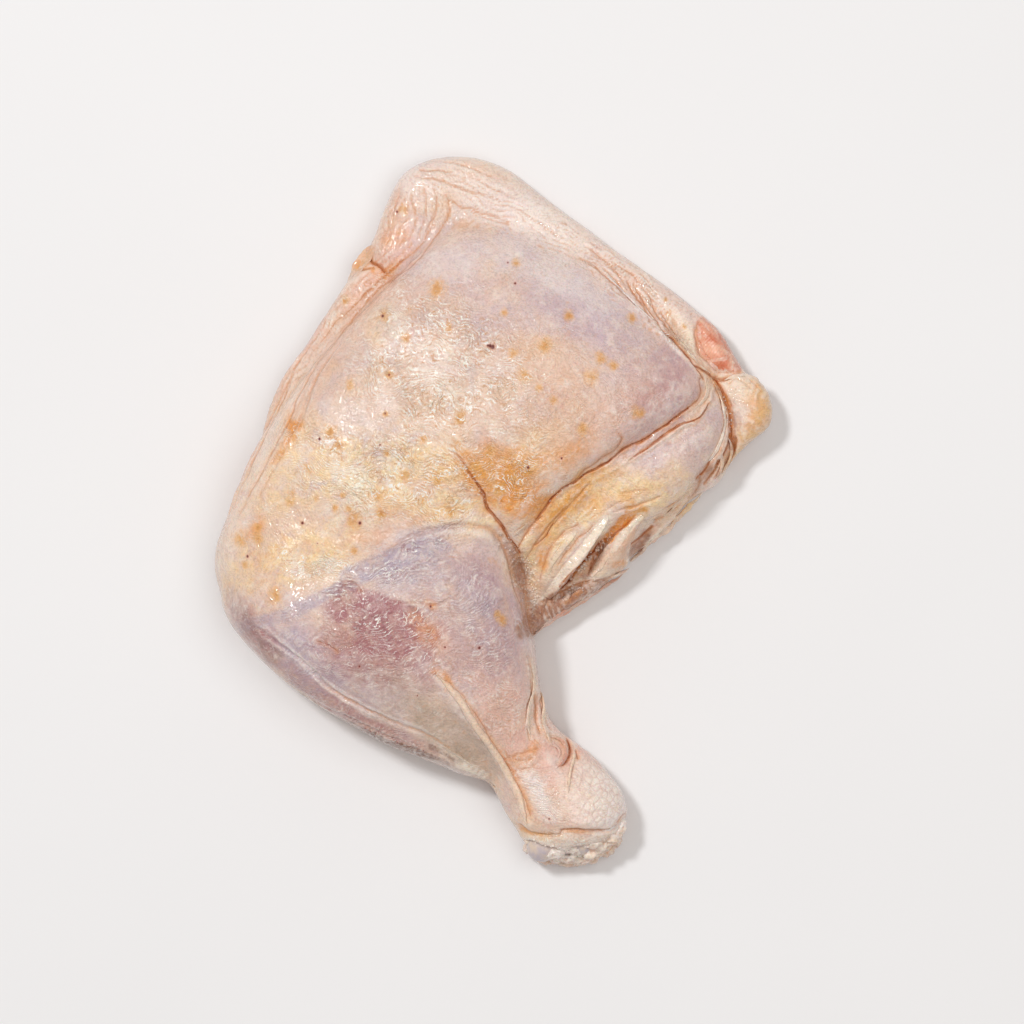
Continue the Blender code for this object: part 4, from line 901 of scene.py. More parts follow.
# Where each colour of the skin lies: brush strokes over the plan, with the strength as the third number, and
# the brush's half width. True at the end gives the stroke a crisp edge.
zones = {
    "lilac": [
        ([(2, 70.3, 0.5), (19.4, 64.5, 0.8), (33.9, 52.9, 0.9), (42.6, 44.2, 0.6)], 11),
        ([(48.4, 47.1, 0.6), (53.1, 38.4, 0.9), (48.4, 29.7, 0.8), (39.7, 26.8, 0.5)], 8),
        ([(-18.3, 70.3, 0.4), (-6.7, 64.5, 0.5), (2, 58.7, 0.5)], 12),
        ([(-15.4, 74.4, 0.4), (-0.9, 76.1, 0.7), (13.6, 72.6, 0.7), (28.1, 64.5, 0.5)], 7),
        ([(45.5, 18.1, 0.6), (55.7, 21, 0.8), (63.5, 23.9, 0.6)], 7),
        ([(-67, -31.8, 0.7), (-56, -37, 0.9), (-44.4, -43.9, 0.9), (-29.9, -54.4, 0.7)], 8),
        ([(-27, -18.1, 0.5), (-12.5, -13.8, 0.6), (-0.9, -22.5, 0.8), (3.8, -37, 0.8),
          (3.8, -51.5, 0.6)], 9),
        ([(-15.4, -37, 0.5), (-6.7, -45.7, 0.6), (-0.9, -57.3, 0.4)], 7),
    ],
    "peach": [
        ([(47.3, -5.7, 0.6), (45.2, -8.3, 0.9), (42.6, -10.9, 0.5)], 1.3),
        ([(-33.9, 65.7, 0.4), (-28.1, 61.6, 0.7), (-22.3, 59.9, 0.5)], 6),
        ([(-64.1, -43.4, 0.3), (-57.1, -48.6, 0.6), (-49, -54.4, 0.3)], 2.6),
        ([(-42.6, 56.4, 0.4), (-45.5, 45.4, 0.6), (-50.8, 33.2, 0.5)], 6),
        ([(-70.5, -25.4, 0.4), (-62.9, -16.7, 0.5), (-68.7, -5.1, 0.4), (-56, -22.5, 0.3)], 9),
        ([(-56, 3.6, 0.3), (-47.3, -5.1, 0.3)], 7),
        ([(10.7, 44.2, 0.4), (19.4, 35.5, 0.8), (28.1, 26.8, 0.8), (19.4, 21, 0.7)], 9),
        ([(2, 23.9, 0.5), (13.6, 21, 0.7), (7.8, 15.2, 0.7)], 8),
        ([(31, 38.4, 0.5), (42.6, 32.6, 0.6)], 7),
        ([(-19.7, -25.4, 0.5), (-15.4, -31.2, 0.8), (-13.6, -38.4, 0.7), (-15.4, -45.7, 0.6)], 4),
        ([(39.7, -6.2, 0.7), (37.4, -11.5, 0.8), (33.9, -14.4, 0.5)], 3.0),
        ([(47.3, -4.5, 0.7), (44.9, -7.4, 0.9), (42, -9.7, 0.6)], 1.6),
        ([(-3.8, -37, 0.3), (2, -51.5, 0.4), (5.5, -66, 0.7), (10.7, -74.7, 0.6)], 5),
        ([(-27, 89.2, 0.5), (-32.8, 76.1, 0.5), (-47.3, 52.9, 0.4)], 3.5),
    ],
    "yellow": [
        ([(-73.4, -2.2, 0.3), (-58.9, 9.4, 0.6), (-44.4, 12.3, 0.8), (-27, 11.2, 0.9), (-12.5, 8.3, 0.9),
          (-3.8, 3.6, 0.7)], 11),
        ([(2, 3.6, 0.8), (7.8, 12.3, 0.9), (13.6, 18.1, 0.5)], 6),
        ([(10.7, -9.4, 0.7), (15.1, -5.1, 0.9), (20, -0.7, 0.9), (28.1, 3.6, 0.6)], 5),
        ([(-71.9, -16.7, 0.5), (-60.3, -13.8, 0.8), (-47.3, -8, 0.7)], 9),
        ([(10.7, -13.8, 0.6), (19.4, -0.7, 1), (31, 5.9, 1), (42.6, 5.9, 0.8), (51.9, 3.6, 0.6)], 7),
        ([(24.1, 0.7, 0.5), (28.7, 3.6, 0.9), (32.8, 5.9, 0.7)], 3.0),
        ([(42.6, 0.1, 0.6), (49.9, 2.2, 0.7), (55.4, 7.1, 0.5)], 4),
        ([(-41.5, 61.6, 0.3), (-32.8, 52.9, 0.2)], 8),
    ],
    "golden": [
        ([(25.2, 2.5, 0.4), (28.7, 3.6, 0.6), (31.6, 4.8, 0.4)], 3.0),
        ([(13, -9.7, 0.4), (17.1, -3.3, 0.6), (20, 0.7, 0.7)], 2.6),
        ([(18.3, -2.2, 0.7), (21.2, 1.9, 1), (23.8, 5.9, 1), (27, 9.1, 0.6)], 2.8),
        ([(40.9, 3.6, 0.2), (43.2, 5.9, 0.3), (45.5, 7.4, 0.1)], 2.0),
        ([(21.2, 1.9, 0.8), (22.9, 4.8, 1)], 1.4, True),
        ([(28.1, 10, 0.5), (32.8, 11.2, 0.6), (35.7, 12.3, 0.4)], 2.4),
        ([(37.4, 4.2, 0.5), (40.3, 2.2, 0.9), (42.6, 0.7, 0.8)], 2.2),
        ([(31, 3, 0.4), (29.3, 0.1, 0.4)], 2.0),
        ([(-6.7, 10.6, 0.3), (-2, 12.3, 0.5), (3.2, 14.6, 0.5), (7.8, 12.3, 0.4)], 5.0),
    ],
    "pleat": [
        ([(-21.2, 97.6, 0.3), (-12.5, 93.5, 0.5), (-0.9, 88.3, 0.6), (10.7, 82.5, 0.7), (25.2, 76.1, 0.9),
          (36.8, 68.6, 1), (45.5, 61.6, 1), (53.1, 54.1, 0.9), (57.7, 48.3, 0.6)], 7),
        ([(-24.1, 96.4, 0.4), (-25.8, 87.7, 0.6), (-29.3, 77.9, 0.6), (-35.7, 68.6, 0.6),
          (-47.3, 52.9, 0.5), (-58.9, 34.9, 0.5), (-68.7, 14.6, 0.4)], 6),
    ],
    # painted highlights: patches of glare laid into the colour of the wet skin
    "paintedShine": [
        ([(-40.3, 11.2, 0.7), (-37.4, 7.7, 1), (-38, 3.6, 0.8), (-35.7, 0.1, 0.4)], 3.4),
        ([(-45.5, 12.3, 0.5), (-43.2, 8.3, 0.6)], 2.2),
        ([(-30.4, 14.6, 0.4), (-24.1, 12.3, 0.6), (-18.3, 10.6, 0.4)], 2.6),
        ([(-28.1, 5.4, 0.4), (-21.2, 4.2, 0.5), (-14.2, 5.4, 0.4)], 2.2),
        ([(-46.7, 1.3, 0.6), (-44.9, -2.2, 0.8), (-47.3, -5.1, 0.5)], 2.2),
        ([(-57.7, -13.2, 0.7), (-56, -15.5, 1), (-54.8, -17.8, 0.7)], 1.8),
        ([(-49.6, -14.4, 0.7), (-46.1, -14.9, 0.9), (-41.5, -15.5, 0.7)], 1.5),
        ([(-31.6, 61.6, 0.4), (-28.1, 57, 0.7), (-26.4, 51.8, 0.6)], 2.6),
        ([(-18.8, 47.1, 0.4), (-13.6, 45.4, 0.6), (-7.8, 43.6, 0.5)], 2.0),
        ([(-20, 39, 0.4), (-14.2, 35.5, 0.5), (-10.1, 32, 0.4)], 3.0),
        ([(-1.4, 25.7, 0.7), (0.9, 23.9, 0.9), (6.1, 21, 0.6)], 1.8),
        ([(-24.6, -13.8, 0.6), (-21.2, -12, 0.8), (-16.5, -10.9, 0.5)], 1.6),
        ([(10.1, -75.3, 0.6), (11.6, -78.7, 0.9), (13, -82.2, 0.8), (15.9, -85.1, 0.5)], 2.4),
        ([(10.1, -52.6, 0.4), (12.5, -63.1, 0.5), (19.4, -68.9, 0.4)], 1.4),
    ],
    "orange": [
        ([(0.3, 16.4, 0.5), (3.8, 11.2, 1), (6.7, 6.5, 1), (9.6, 3, 1), (12.5, 1.3, 0.9)], 6.0),
        ([(-7.8, 14.6, 0.6), (-4.3, 9.4, 0.8), (-1.4, 3.6, 0.6)], 3.5),
        ([(10.7, 12.3, 0.5), (18.3, 14.1, 0.4), (22.9, 17, 0.5), (27.5, 19.9, 0.2)], 3.6),
        ([(-21.2, 12.3, 0.2), (-15.4, 8.3, 0.25), (-9, 10, 0.3)], 5),
        ([(-32.8, 3.6, 0.2), (-24.1, 0.1, 0.2), (-12.5, 1.9, 0.2)], 4),
        ([(41.5, 1.3, 0.7), (39.1, -1, 1), (36, -4.2, 1), (32.8, -7.4, 0.9)], 1.4, True),
        ([(15.1, -10.3, 0.5), (13.9, -13.8, 0.8), (15.4, -15.5, 0.6)], 1.3),
        ([(35.4, -15.5, 0.6), (37.4, -14.6, 0.7)], 1.0),
        ([(25.2, -23.1, 0.8), (22.9, -24.8, 0.9), (20, -26.5, 0.5)], 1.0),
        ([(-60.6, 29.7, 0.4), (-58.3, 25.7, 0.9), (-56, 24.5, 0.9), (-59.4, 19.3, 0.6),
          (-62.9, 15.2, 0.5)], 2.0),
        ([(-73.4, -6.8, 0.6), (-68.7, -5.7, 0.6), (-67, -3.3, 0.5)], 2.0),
        ([(-38.6, 72.6, 0.6), (-36.8, 76.1, 0.4)], 2.5),
        ([(-34.2, 70.3, 0.8), (-31.6, 68.6, 0.9), (-28.1, 72.6, 0.4)], 1.4),
        ([(-29.3, 79, 0.4), (-27, 80.2, 0.4)], 2.5),
        ([(73.9, 37.8, 0.5), (76.3, 36.1, 0.5)], 2.0),
        ([(73.4, 33.8, 0.2), (76, 31.5, 0.5), (76.6, 28, 0.6), (74.5, 24.5, 0.3)], 2.6),
        ([(62.3, 41.3, 0.7), (65.2, 39.6, 1), (68.1, 39.9, 0.9), (70.5, 40.5, 0.5)], 1.4),
        ([(57.7, 44.2, 0.5), (61.2, 40.7, 0.8), (64.7, 37.3, 0.9), (67, 33.2, 0.8),
          (68.4, 29.1, 0.6)], 1.3),
        ([(40.9, -1.3, 0.5), (37.4, -3.9, 0.9), (33.9, -5.9, 0.9), (30.4, -7.4, 0.7),
          (27.5, -10.3, 0.5)], 0.8, True),
        ([(50.8, 52.9, 0.4), (53.1, 48.6, 0.7), (56, 44.8, 0.6)], 1.2),
        ([(2, -67.4, 0.3), (4.9, -72.4, 0.4), (7.8, -78.2, 0.5), (9.6, -83.4, 0.3)], 0.9),
        ([(7.2, -70.6, 0.4), (9.3, -74.7, 0.3), (9.6, -79.9, 0.2), (10.1, -85.7, 0.3)], 1.8),
        ([(11.9, -67.1, 0.5), (10.1, -70.6, 0.6)], 1.6),
        ([(8.1, -91.8, 0.7), (12.5, -92.9, 0.8), (16.5, -92.9, 0.5)], 0.7),
        ([(21.2, -91.8, 0.5), (28.1, -92.4, 0.6), (32.8, -91.8, 0.5)], 0.7),
        ([(6.4, -70.9, 0.4), (8.4, -70.9, 0.5), (11.9, -66.8, 0.4)], 1.2),
        ([(-17.1, -45.1, 0.5), (-13.6, -46.8, 0.6), (-11.9, -50.3, 0.4)], 1.2),
        ([(-21.8, -31.2, 0.3), (-18.3, -35.2, 0.4), (-15.4, -37, 0.2)], 3.0),
        ([(-18.8, -25.4, 0.3), (-17.1, -26.5, 0.5)], 1.2),
    ],
    "pink": [
        ([(-23.5, 94.7, 0.2), (-27, 84.8, 0.5), (-31, 72.6, 0.7), (-44.4, 56.4, 0.7), (-56, 40.7, 0.6),
          (-67, 21, 0.5), (-76.8, -2.2, 0.4)], 6),
        ([(-3.8, 93.5, 0.2), (13.6, 84.2, 0.3), (31, 72.6, 0.5), (45.5, 61.6, 0.7), (57.1, 51.2, 0.6)], 6),
        ([(-0.9, -39.9, 0.6), (3.5, -54.4, 0.9), (7.8, -66, 0.9), (13.6, -77.6, 0.7)], 9),
        ([(18.3, -65.4, 0.9), (25.2, -70.6, 1), (32.2, -77, 0.9), (34.5, -83.4, 0.7)], 7),
        ([(15.1, -80.5, 0.6), (19.4, -86.3, 0.5)], 5),
        ([(31, 21, 0.3), (45.5, 32.6, 0.4), (54.2, 38.4, 0.4)], 8),
    ],
    "mauve": [
        ([(-41.5, -23.1, 0.8), (-35.1, -25.4, 1), (-28.1, -27.7, 1), (-22.3, -30.6, 0.9)], 3.6, True),
        ([(-42.9, -28.9, 0.9), (-35.1, -30.6, 1), (-27, -32.9, 1), (-19.7, -35.8, 0.8)], 5.5),
        ([(-47.3, -35.8, 0.4), (-38, -37.6, 0.9), (-27, -39.3, 0.9)], 5.4),
        ([(-44.4, -44.5, 0.6), (-29.3, -45.1, 0.7), (-18.3, -46.3, 0.4)], 5),
        ([(-67, -37, 0.5), (-56, -47.4, 0.65), (-42.9, -57.3, 0.7), (-29.9, -64.2, 0.6),
          (-18.3, -68.9, 0.4)], 2.8, True),
        ([(-73.4, -25.4, 0.3), (-70.5, -31.8, 0.6), (-64.1, -37, 0.7)], 4),
        ([(-6.7, -16.7, 0.3), (0.9, -25.4, 0.35), (2, -39.9, 0.35)], 6),
        ([(-18.3, -25.4, 0.2), (-13.6, -31.2, 0.4), (-9, -39.9, 0.3)], 6),
        ([(36.8, 35.5, 0.1), (45.5, 33.8, 0.35), (51.9, 39.6, 0.3)], 8),
        ([(3.8, -9.1, 0.2), (6.7, -15.5, 0.3), (8.4, -21.3, 0.2), (9.6, -24.8, 0.0)], 1.4),
    ],
    "greyLilac": [
        ([(-74.5, -33.5, 0.3), (-65.2, -30.6, 0.6), (-56.8, -28, 0.7), (-50.8, -25.4, 0.7),
          (-44.4, -21.9, 0.6)], 2.0, True),
        ([(-40.9, -19, 0.6), (-33.9, -15.5, 0.9), (-27, -12.9, 1), (-20, -10.6, 0.9),
          (-15.4, -9.7, 0.6)], 3.6, True),
        ([(-30.4, -18.4, 0.5), (-22.6, -17.8, 0.7), (-14.2, -16.7, 0.5)], 4.0),
        ([(-27, -7.4, 0.5), (-18.3, -5.4, 0.6), (-9, -3.9, 0.5)], 2.0),
        ([(-56, -37, 0.5), (-58.3, -42.8, 0.5), (-47.3, -48.6, 0.4)], 5),
        ([(-15.4, -21.9, 0.4), (-7.8, -25.4, 0.5), (-2.6, -34.7, 0.5), (-0.3, -42.8, 0.3)], 8),
    ],
    "greyBeige": [
        ([(-27, -51.5, 0.6), (-18.3, -58.7, 0.9), (-9.6, -65.4, 1), (-3.2, -72.4, 0.8)], 6),
        ([(-35.7, -48.6, 0.4), (-27, -54.4, 0.5)], 7),
    ],
    "wine": [
        ([(-17.7, -67.1, 0.5), (-13, -69.5, 0.6), (-9, -72.4, 0.3)], 0.8, True),
        ([(-58.3, -52.1, 0.5), (-49.3, -57.3, 0.9), (-40.3, -61.9, 1), (-30.4, -66.6, 1),
          (-19.4, -70.3, 0.9), (-13.6, -72.9, 0.4)], 1.3, True),
        ([(-75.1, -22.5, 0.2), (-70.5, -32.6, 0.4), (-62.9, -41.3, 0.4)], 2.5),
    ],
    "cream": [
        ([(16.2, -23.6, 0.9), (19.1, -19.9, 1), (22.3, -15.5, 1), (25.8, -11.5, 1), (29, -7.1, 1),
          (32.2, -3, 0.8)], 1.9, True),
        ([(14.8, -19, 0.3), (16.8, -14.4, 0.4), (19.7, -10.3, 0.4), (23.2, -6.2, 0.3)], 0.8),
        ([(42.6, -1.3, 0.9), (39.7, -4.2, 0.9), (36.5, -7.7, 0.8), (34.5, -10.9, 0.6)], 1.1, True),
        ([(48.7, -5.1, 0.8), (45.5, -8.3, 0.9), (42, -11.5, 0.9), (39.7, -13.8, 0.7)], 0.8, True),
        ([(12.5, -34.9, 0.5), (17.1, -31.2, 0.7), (23.8, -27.1, 0.8), (31, -22.5, 0.8),
          (36.8, -18.7, 0.8)], 0.7, True),
        ([(65, 35.8, 0.6), (66.7, 31.5, 0.7), (67, 24.5, 0.7), (65, 18.7, 0.6), (61.2, 14.1, 0.4)], 0.7),
        ([(-13, -68.6, 0.4), (-6.7, -72.9, 0.8), (-2, -75.8, 0.6)], 0.8),
        ([(35.1, -13.8, 0.2), (31.6, -16.7, 0.35), (28.7, -18.4, 0.2)], 2.0),
        ([(33.3, 11.2, 0.2), (45.5, 18.4, 0.4), (54.8, 24.2, 0.5), (62.3, 30.9, 0.5)], 1.3),
        ([(42.6, 64.5, 0.3), (50.8, 58.1, 0.5), (56, 51.8, 0.8), (59.4, 45.4, 0.9),
          (63.5, 40.7, 0.7)], 2.6),
        ([(67, 37.8, 0.8), (70.5, 38.4, 0.9), (73.4, 37.8, 0.7), (71, 34.9, 0.6)], 2.6),
        ([(36, -83.4, 0.9), (37.4, -86.9, 0.9), (36, -89.8, 0.7)], 1.6, True),
        ([(-10.1, -72.4, 0.8), (-6.7, -74.1, 1), (-3.2, -76.4, 0.9)], 0.9, True),
        ([(10.7, 84.8, 0.4), (22.3, 77.9, 0.4)], 6),
        ([(24.6, -75.3, 0.4), (29.3, -79.3, 0.8), (32.8, -83.4, 1), (33.9, -87.4, 1)], 6.5),
        ([(9.3, -95.6, 0.4), (19.4, -97.3, 0.6), (31, -96.7, 0.5)], 3),
        ([(15.9, -97.9, 0.8), (21.2, -100.2, 0.9), (26.4, -98.5, 0.7)], 2.4),
        ([(-75.4, -8, 0.5), (-67, 12.3, 0.5), (-56, 38.4, 0.4), (-44.4, 55.8, 0.4)], 3),
    ],
    "pearl": [
        ([(-21.2, 96.4, 0.5), (-12.5, 95.3, 0.5), (-0.9, 91.2, 0.6), (10.7, 84.8, 0.7), (25.2, 76.1, 0.5),
          (39.7, 66.8, 0.5), (51.3, 57, 0.4)], 7),
        ([(21.2, 76.1, 0.3), (27.8, 73.2, 0.7), (35.1, 66.6, 0.9), (41.2, 59.9, 0.9), (45.8, 55.8, 0.9),
          (51.9, 48.6, 0.9), (58.3, 42.2, 0.6)], 1.0),
        ([(-15.4, 72.6, 0.2), (2, 76.1, 0.4), (19.4, 69.7, 0.5), (31, 61.6, 0.4)], 7),
        ([(61.2, 45.4, 0.4), (63.5, 43.1, 0.7), (66.4, 41.3, 0.7), (69.3, 40.7, 0.5)], 1.4),
        ([(28.7, -76.4, 0.4), (32.8, -81.1, 0.8), (35.7, -86.3, 1), (35.7, -90.3, 1)], 5.2),
        ([(21.2, -83.4, 0.4), (27, -86.9, 0.6), (32.2, -89.2, 0.7)], 4.0),
        ([(8.4, -73.5, 0.3), (10.7, -78.2, 0.8), (13.6, -83.4, 0.9), (17.1, -87.4, 0.7)], 2.8),
        ([(0.9, -68.3, 0.3), (3.2, -72.9, 0.4), (6.1, -79.3, 0.4)], 0.9),
        ([(11.9, -97.3, 0.5), (18.3, -98.5, 0.7), (25.2, -97.9, 0.6), (32.2, -95.6, 0.6)], 3.0),
        ([(11.6, -51.5, 0.5), (10.4, -57.9, 0.6), (10.4, -64.2, 0.5)], 0.9),
        ([(15.1, -55.5, 0.5), (15.4, -60.8, 0.6), (18.3, -64.2, 0.5), (23.5, -67.1, 0.4)], 1.2),
        ([(-65.2, -32.3, 0.4), (-57.1, -39.6, 0.6), (-49, -47.1, 0.6), (-41.5, -52.3, 0.6),
          (-31.6, -57.6, 0.5), (-21.2, -61.6, 0.4)], 0.5),
    ],
    "cord": [
        ([(-15.4, -47.4, 0.6), (-9.3, -53.8, 0.9), (-4.6, -61.3, 1), (1.4, -70, 1), (6.7, -79.3, 1),
          (9.9, -89.8, 1)], 1.2),
        ([(11.3, -42.8, 0.6), (11.9, -50.9, 0.9), (10.7, -55.5, 0.9), (10.4, -64.8, 0.7)], 0.9),
        ([(13.9, -52.6, 0.6), (14.8, -57.3, 0.9), (14.8, -61.3, 0.8), (16.5, -66, 0.6)], 0.8),
        ([(17.1, -64.8, 0.8), (20, -66, 0.9), (21.2, -68.9, 0.9), (19.4, -72.6, 0.7)], 0.8),
        ([(23.2, -67.7, 0.7), (23.2, -71.8, 0.9), (22, -77, 0.8), (21.8, -80.5, 0.5)], 0.8),
        ([(61.2, 40.2, 0.8), (62.1, 36.1, 0.9), (60, 31.5, 0.8), (56, 28.6, 0.5)], 1.6),
    ],
    "gap": [
        ([(31.6, -8, 0.6), (29.6, -10.6, 0.8), (27, -13.8, 0.9), (24.4, -16.4, 1), (22, -19, 1),
          (19.4, -21.6, 0.7)], 0.65, True),
        ([(28.1, -17.3, 0.5), (29, -14.4, 0.6), (31.3, -10.9, 0.6)], 0.6),
    ],
    "butter": [
        ([(73.9, 37.3, 0.4), (78, 33.8, 0.7), (79.2, 29.1, 0.8), (76.3, 23.3, 0.8), (71, 16.4, 0.7)], 4.0),
        ([(72.8, 34.9, 0.5), (74.5, 30.3, 0.6), (76.3, 26.8, 0.7)], 2.0),
        ([(80.3, 32.6, 0.3), (79.8, 25.7, 0.5), (75.7, 21, 0.4)], 1.6),
        ([(51.9, 56.4, 0.5), (54.8, 52.3, 0.8), (57.1, 48.9, 0.9), (61.2, 44.2, 0.7)], 2.4),
        ([(7.8, -93.2, 0.6), (12.5, -95.6, 0.8), (18.3, -96.7, 0.5)], 2.6),
        ([(27, -97.9, 0.6), (32.2, -96.1, 0.8), (36.2, -92.7, 0.7)], 3),
    ],
    "meat": [
        ([(60.9, 54.4, 0.9), (63.5, 51.8, 1), (65.8, 48.6, 1), (68.1, 45.4, 1),
          (70.2, 42.5, 0.8)], 2.4, True),
        ([(59.7, 51.8, 0.8), (61.2, 47.1, 1), (64.7, 43.1, 0.8)], 1.6),
    ],
    "raw": [
        ([(10.1, -33.2, 1), (12.5, -30.9, 1), (15.4, -28.6, 1), (18.3, -26.5, 1),
          (21.5, -24.8, 0.8)], 3.4, True),
        ([(17.1, -28.9, 0.9), (20, -26.8, 1), (22.9, -25.1, 0.8)], 2.4, True),
        ([(21.2, -23.1, 0.7), (24.6, -22.5, 0.8), (28.7, -21.9, 0.9), (32.8, -20.2, 0.7)], 2.0, True),
        ([(44.1, -6.8, 0.8), (42, -9.4, 1), (40.6, -11.7, 0.7)], 1.8, True),
        ([(60, 10, 0.5), (62.3, 12.3, 0.7), (64.7, 11.2, 0.5)], 1.6),
        ([(1.4, -5.7, 0.4), (4.3, -9.7, 0.6), (7.2, -14.9, 0.7), (9.3, -20.7, 0.5),
          (11, -26.5, 0.05)], 2.2),
        ([(25.8, -14.6, 0.4), (28.1, -12.6, 0.5), (30.2, -10.9, 0.4)], 1.2),
        ([(65.8, 36.7, 0.7), (67.6, 32.6, 0.9), (68.7, 28, 0.9), (69.3, 23.3, 0.8),
          (69, 19.3, 0.6)], 1.3, True),
    ],
    "wet": [
        ([(-44.4, 55.8, 0.4), (-32.8, 58.7, 0.6), (-21.2, 52.9, 0.9), (-9.6, 47.1, 1),
          (2, 38.4, 1)], 11),
        ([(-27, 41.3, 0.9), (-15.4, 32.6, 1), (-3.8, 26.8, 0.9), (2, 21, 0.6)], 13),
        ([(-53.1, 18.1, 0.6), (-41.5, 15.2, 1), (-27, 9.4, 1), (-12.5, 6.5, 0.8)], 11),
        ([(-58.9, -13.8, 0.9), (-50.2, -15.5, 0.9), (-41.5, -15.5, 0.7)], 4),
        ([(-0.9, 12.3, 0.5), (7.8, 9.4, 0.9), (13.6, 9.4, 0.6)], 8),
        ([(-33.3, -15.5, 0.9), (-25.8, -13.8, 1), (-16.5, -10.3, 0.9)], 5),
        ([(-42.6, -24.8, 0.9), (-33.9, -28.3, 1), (-24.1, -31.8, 1), (-20, -37, 0.7)], 6.5),
        ([(-47.3, -39.9, 0.4), (-32.8, -42.8, 0.5), (-15.4, -37, 0.4)], 8),
        ([(-6.7, -19.6, 0.4), (-2, -31.2, 0.6), (-0.9, -45.7, 0.5), (3.5, -57.3, 0.4)], 7),
        ([(-56, -51.5, 0.4), (-38.6, -61.6, 0.5), (-21.2, -68.9, 0.5)], 4),
        ([(6.7, -70.6, 0.4), (9.6, -74.7, 0.5), (11.9, -78.7, 0.5), (14.8, -82.8, 0.5),
          (16.5, -86.9, 0.3)], 5),
        ([(9.6, -13.8, 0.5), (10.7, -22.5, 0.6), (11, -29.7, 0.5)], 2.0),
        ([(49.6, 52.3, 0.8), (52.5, 49.7, 1), (55.4, 46.5, 0.7)], 1.6),
        ([(15.1, -95, 0.6), (22.3, -97.3, 0.8), (31, -95.6, 0.6)], 3),
    ],
    "scales": [
        ([(24.1, -72.9, 0.5), (28.7, -75.8, 0.9), (32.8, -80.5, 1), (35.1, -85.7, 1)], 5.0),
        ([(24.6, -78.7, 0.8), (28.1, -83.4, 1), (30.4, -88, 1)], 5.0),
    ],
}

# Spots on the skin, orange smudges and dark marks: plan place and half width
smudges = [
    (-15.7, 64.5, 1.9), (-16.5, 62.8, 1.2), (-24.9, 50, 1.4), (-12.5, 52.9, 0.9), (15.1, 48, 1.5),
    (9, 39, 1.4), (5.8, 45.4, 1.1), (3.2, 57.3, 0.9), (17.4, 32, 0.9), (-9.3, 27.1, 1.4), (13.3, 35.5, 0.9),
    (-10.1, 19.6, 1.3), (-0.6, 17.8, 1.2), (21.8, 56.4, 1.2), (-31.3, 56.4, 1.2), (-29.6, 39.3, 0.9),
    (-30.7, 28.3, 0.7), (10.1, 12.6, 1.3), (-46.7, 23.3, 1.5), (-43.8, 19.3, 1.3), (-53.1, 12.9, 1.1),
    (-58.3, 3.3, 1.1), (-57.7, 5.4, 0.9), (-45.2, 1, 0.9), (-40.9, 1, 0.9), (-31.9, -0.4, 1.2),
    (-39.7, -2.2, 1.8), (-72.5, -8, 1.4), (-67.3, -7.7, 1.2), (-67.6, -4.5, 0.9), (-62.1, -23.6, 1.5),
    (-39.7, -10.9, 0.9), (-71.3, -15.2, 0.8), (-30.2, 16.7, 0.9), (-24.9, 10.9, 1.2), (-32.8, 4.5, 1),
    (-50.5, 4.2, 0.8), (-42.9, 4.8, 0.7), (-25.8, 87.7, 1.1), (40, 55.8, 1.2), (41.2, 28.3, 1.3),
    (25.8, 23.9, 1.3), (6.7, 71.8, 0.9), (42.6, 28.6, 0.8), (-42.9, 61.6, 1), (2, 6.5, 1.3),
    (-4.9, 12.9, 1.1), (-15.4, 9.4, 1.2), (-20, 3.6, 1), (-11.9, 0.1, 1.1), (2.6, -30.9, 1.1),
    (1.4, -28.9, 0.8), (-40.9, 36.7, 1), (-19.7, 21, 0.9), (50.8, 58.1, 0.7), (49.9, 61.6, 0.6),
    (55.4, 53.8, 0.6), (28.1, 38.4, 1.6), (31, 44.2, 1.3), (34.5, 41.9, 1),
]
marks = [
    (-35.4, -63.1, 0.34), (-33.9, -63.9, 0.26), (-27.5, -66.3, 0.26), (-20, -68.6, 0.24),
    (-36.8, -62.2, 0.22), (-60.6, -48.6, 0.2), (-21.5, -52.3, 0.2), (-38, -43.9, 0.3), (0, 47.3, 0.62),
    (-0.7, 47.6, 0.5), (-1.4, 47.7, 0.36), (-49.6, 21, 0.4), (-38, -3, 0.46), (-54.5, -3, 0.42),
    (19.7, 15.5, 0.32), (6.4, 65.7, 0.34), (4.3, 71.8, 0.24), (-31.6, 56.4, 0.42), (-32.2, 19.3, 0.28),
    (-13.6, -38.4, 0.3), (-70.5, -12.6, 0.38), (10.1, 12.9, 0.42), (-27.8, 87.1, 0.36), (-29.6, 39.3, 0.26),
    (-30.7, 28.3, 0.26), (-3.8, -38.7, 0.4), (16.2, -88.3, 0.26), (-50.2, -8.8, 0.22), (-17.7, -26.8, 0.34),
]


# How the strokes are painted: where a crisp and a soft brush fade, in half widths, how far an edge strays,
# which colours stay off the sides, and how deep a full hollow is, in millimetres, for the painted shade in
# hollows and the painted highlight on crests
brush = dict(
    crispEdge=(0.75, 1.15), softEdge=(0.35, 1.5), crispStray=1.0, stray=0.45, strayMost=3.2, straySize=8,
    upperOnly=("wine", "raw", "mauve", "gap", "orange"), relief=0.14, cutTint=0.4,
)


def writeMark(mesh, name, values):
    layer = mesh.attributes.new(name, "FLOAT", "POINT")
    layer.data.foreach_set("value", values.astype(np.float32))


